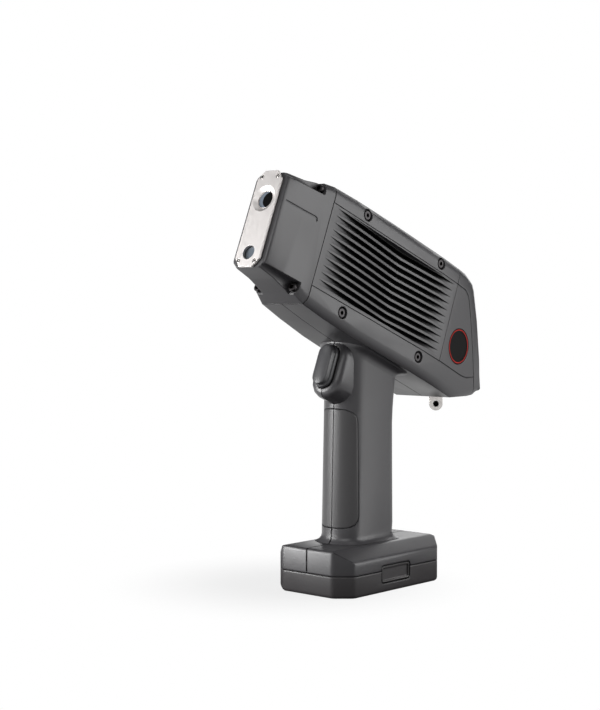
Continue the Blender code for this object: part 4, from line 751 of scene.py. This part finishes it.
coils = spring_tree()
print("spring tree inputs:", [s.name for s in coils.interface.items_tree if s.in_out == "INPUT"])

# %% [markdown]
# ## Winding the springs
# Each spring stands on its seat and points the way that it pushes.

# %% Wind the three springs
TRIGGER_SPRING = {"radius": 2.1, "wire": 0.4, "length": 17.0, "turns": 5.0, "travel": 3.5}
LATCH_SPRING = {"radius": 1.55, "wire": 0.35, "length": 4.35, "turns": 3.0, "travel": 2.0}
TRIGGER_SEAT = Vector((0, -0.012764, 0.143726))
LATCH_SEAT = Vector((0.0254, -0.002, 0.0117))


def wind(name, replaced, spring, seat, way, body):
    """Winds a spring on its seat and points it the way that it pushes."""
    sizes = (spring["radius"] * MM, spring["wire"] * MM, spring["length"] * MM, spring["turns"])
    values = dict(zip(SPRING_SIZES, sizes), Steel=bright_steel)
    mesh = made_by(coils, name + "_path", bpy.data.meshes.new(name + "_path"), values)
    mesh.transform(Matrix.Translation(seat) @ Vector(way).to_track_quat("Z", "Y").to_matrix().to_4x4())
    for polygon in mesh.polygons:
        polygon.use_smooth = len(polygon.vertices) == 4
    piece = stood(name, mesh, body, [replaced])
    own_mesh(piece)
    return piece


springs = [wind("trigger_coil", "trigger_spring", TRIGGER_SPRING, TRIGGER_SEAT, FORWARDS, "housing")]
for side, sign in (("left", 1), ("right", -1)):
    seat = Vector((sign * LATCH_SEAT.x, LATCH_SEAT.y, LATCH_SEAT.z))
    springs.append(wind(side + "_latch_coil", side + "_latch_spring", LATCH_SPRING, seat, (sign, 0, 0),
                        "battery"))
print("springs:", {piece.name: len(piece.data.polygons) for piece in springs})

# %% [markdown]
# ## Camera
# The photograph was taken from in front and a little below the case's middle, with a long lens. The
# camera stands almost a metre away, 42 degrees round from the nose, and barely looks down. Its lens is
# given as the photograph's focal length and height, both in pixels.

# %% Set the camera
CAMERA_RISE = math.radians(1.91)
SENSOR_MM, FOCAL_PIXELS, HEIGHT_PIXELS = 36, 1500, 710
AIM_RIGHT, AIM_HEIGHT, DISTANCE = -0.0394, 0.151, 0.9844

back = Vector((math.sin(CAMERA_TURN) * math.cos(CAMERA_RISE), -math.cos(CAMERA_TURN) * math.cos(CAMERA_RISE),
               math.sin(CAMERA_RISE)))
right = Vector((math.cos(CAMERA_TURN), math.sin(CAMERA_TURN), 0))
up = back.cross(right)
lens = bpy.data.cameras.new("camera")
lens.sensor_width = SENSOR_MM
lens.lens = SENSOR_MM * FOCAL_PIXELS / HEIGHT_PIXELS
camera = bpy.data.objects.new("camera", lens)
camera.matrix_world = Matrix((right, up, back)).transposed().to_4x4()
camera.location = right * AIM_RIGHT + Vector((0, 0, AIM_HEIGHT)) + back * DISTANCE
bpy.context.scene.collection.objects.link(camera)
bpy.context.scene.camera = camera
print("camera at", [round(v, 3) for v in camera.location], "lens", round(lens.lens, 1), "mm")

# %% [markdown]
# ## Floor
# A product photograph on white has a soft shadow and no visible horizon. The floor is a pale sheet
# that the camera sees mostly through, to a pure white backdrop, so only a faint shadow is left. The
# sheet is least see-through in a patch left of the foot, so a painted shadow lies there, on the far
# side from the large lamp on the right, and fades out. Lamps shine through the sheet too, so the
# battery can be seen when it is drawn out below. Glossy rays see a white table, so that metal and
# satin plastic have something to reflect, but right under the instrument the table is painted dark
# for glossy rays, a painted shade, and there the reflection is dark.

# %% White floor
# painted shadow left of the foot, and painted shade under the instrument for glossy rays
SHADOW_LEFT = 0.045
SHADOW_NEAR, SHADOW_FAR, SHADOW_CLEAR = 0.02, 0.13, 0.82
SHADE_NEAR, SHADE_FAR = 0.144, 0.24
SHEET, SHADED_SHEET = "#8a8a8c", "#1c1a1a"


def times(tree, a, b):
    return node(tree, "ShaderNodeMath", {0: a, 1: b}, operation="MULTIPLY").outputs[0]


def smooth_step(tree, value, near, far, low, high):
    step = node(tree, "ShaderNodeMapRange", {"Value": value, "From Min": near, "From Max": far,
                                             "To Min": low, "To Max": high})
    step.interpolation_type = "SMOOTHSTEP"
    return step.outputs["Result"]


def floor_finish():
    material, tree = started("white_floor")[:2]
    tree.nodes.clear()
    place = node(tree, "ShaderNodeTexCoord").outputs["Object"]
    seen = node(tree, "ShaderNodeLightPath").outputs
    # painted shadow: near a point left of the foot the camera sees more of the grey lit sheet
    shadow_at = tuple(right * -SHADOW_LEFT)
    beside = node(tree, "ShaderNodeVectorMath", {0: place, 1: shadow_at}, operation="DISTANCE")
    clear = smooth_step(tree, beside.outputs["Value"], SHADOW_NEAR, SHADOW_FAR, SHADOW_CLEAR, 1.0)
    distance = node(tree, "ShaderNodeVectorMath", {0: place}, operation="LENGTH").outputs["Value"]
    lit_share = smooth_step(tree, distance, SHADE_NEAR, SHADE_FAR, 0.0, 1.0)
    dark_share = smooth_step(tree, distance, SHADE_NEAR, SHADE_FAR, 1.0, 0.0)
    # painted shade: near the instrument glossy rays see the sheet dark and without the white glow
    dim = times(tree, dark_share, seen["Is Glossy Ray"])
    mirror = times(tree, lit_share, seen["Is Glossy Ray"])
    sheet = node(tree, "ShaderNodeMix", {"Factor": dim, "A": colour(SHEET), "B": colour(SHADED_SHEET)},
                 data_type="RGBA")
    lit = node(tree, "ShaderNodeBsdfDiffuse", {"Color": sheet.outputs["Result"]})
    glow = node(tree, "ShaderNodeEmission", {"Color": (1, 1, 1, 1), "Strength": 1.0})
    table = node(tree, "ShaderNodeMixShader", {0: mirror, 1: lit.outputs[0], 2: glow.outputs[0]})
    through = node(tree, "ShaderNodeBsdfTransparent", {"Color": (1, 1, 1, 1)})
    passed = node(tree, "ShaderNodeMath", {0: clear, 1: seen["Is Camera Ray"], 2: seen["Is Shadow Ray"]},
                  operation="MULTIPLY_ADD")
    mix = node(tree, "ShaderNodeMixShader", {0: passed.outputs[0], 1: table.outputs[0],
                                             2: through.outputs[0]})
    node(tree, "ShaderNodeOutputMaterial", {"Surface": mix.outputs[0]})
    return material


def white_floor(half_size):
    mesh = bpy.data.meshes.new("floor")
    shape = bmesh.new()
    bmesh.ops.create_grid(shape, x_segments=1, y_segments=1, size=half_size)
    shape.to_mesh(mesh)
    shape.free()
    mesh.materials.append(floor_finish())
    floor = bpy.data.objects.new("floor", mesh)
    bpy.context.scene.collection.objects.link(floor)
    return floor


floor = white_floor(4)
print("floor at height", floor.location.z)

# %% [markdown]
# ## Lamps
# Two upright strips stand left of the camera at the instrument's height. They light what faces
# forwards and draw thin upright highlights on the grip and the trigger. A large box far to the right,
# a little nearer the camera than the instrument is, runs a satin sheen along the flank that looks at
# the camera, and a box behind and one overhead part the far edges from the white. A long box above the
# front and a faint panel above the strips brighten the nose plate and the foot's top. The world adds
# only a little fill, and the camera sees it as pure white.

# %% World and lamps
def world_light(strength):
    world = bpy.data.worlds.new("studio")
    bpy.context.scene.world = world
    world.use_nodes = True
    tree = world.node_tree
    tree.nodes.clear()
    seen = node(tree, "ShaderNodeLightPath")
    bright = node(tree, "ShaderNodeBackground", {"Color": (1, 1, 1, 1), "Strength": 1.0})
    dim = node(tree, "ShaderNodeBackground", {"Color": colour("#f4f6fa"), "Strength": strength})
    mix = node(tree, "ShaderNodeMixShader", {0: seen.outputs["Is Camera Ray"], 1: dim.outputs[0],
                                             2: bright.outputs[0]})
    node(tree, "ShaderNodeOutputWorld", {"Surface": mix.outputs[0]})


def lamp(name, place, aim, size, watts):
    light = bpy.data.lights.new(name, "AREA")
    light.shape = "RECTANGLE"
    light.size, light.size_y = size
    light.energy = watts
    made = bpy.data.objects.new(name, light)
    made.location = place
    made.rotation_euler = (Vector(aim) - Vector(place)).to_track_quat("-Z", "Y").to_euler()
    bpy.context.scene.collection.objects.link(made)
    return made


world_light(0.06)
lamps = [
    lamp("left_strip", (-0.99, -0.94, 0.29), (0, 0, 0.14), (0.40, 0.56), 15),
    lamp("middle_strip", (-0.68, -1.18, 0.27), (0, 0, 0.14), (0.35, 0.50), 8),
    lamp("left_panel", (-0.95, -0.85, 0.95), (0, 0, 0.2), (1.2, 0.8), 1.0),
    lamp("right_box", (1.12, 0.62, 0.52), (0, 0, 0.17), (1.2, 1.0), 14.5),
    lamp("rear_box", (-0.55, 1.25, 0.60), (0, 0, 0.17), (1.0, 0.8), 6),
    lamp("front_box", (0.38, -1.12, 0.98), (0, -0.05, 0.2), (1.1, 0.32), 5),
    lamp("top_box", (0.0, -0.1, 1.4), (0, 0, 0.15), (0.7, 0.7), 2.5),
]
bpy.context.scene.view_settings.view_transform = "Standard"
print("lamps:", {made.name: made.data.energy for made in lamps})
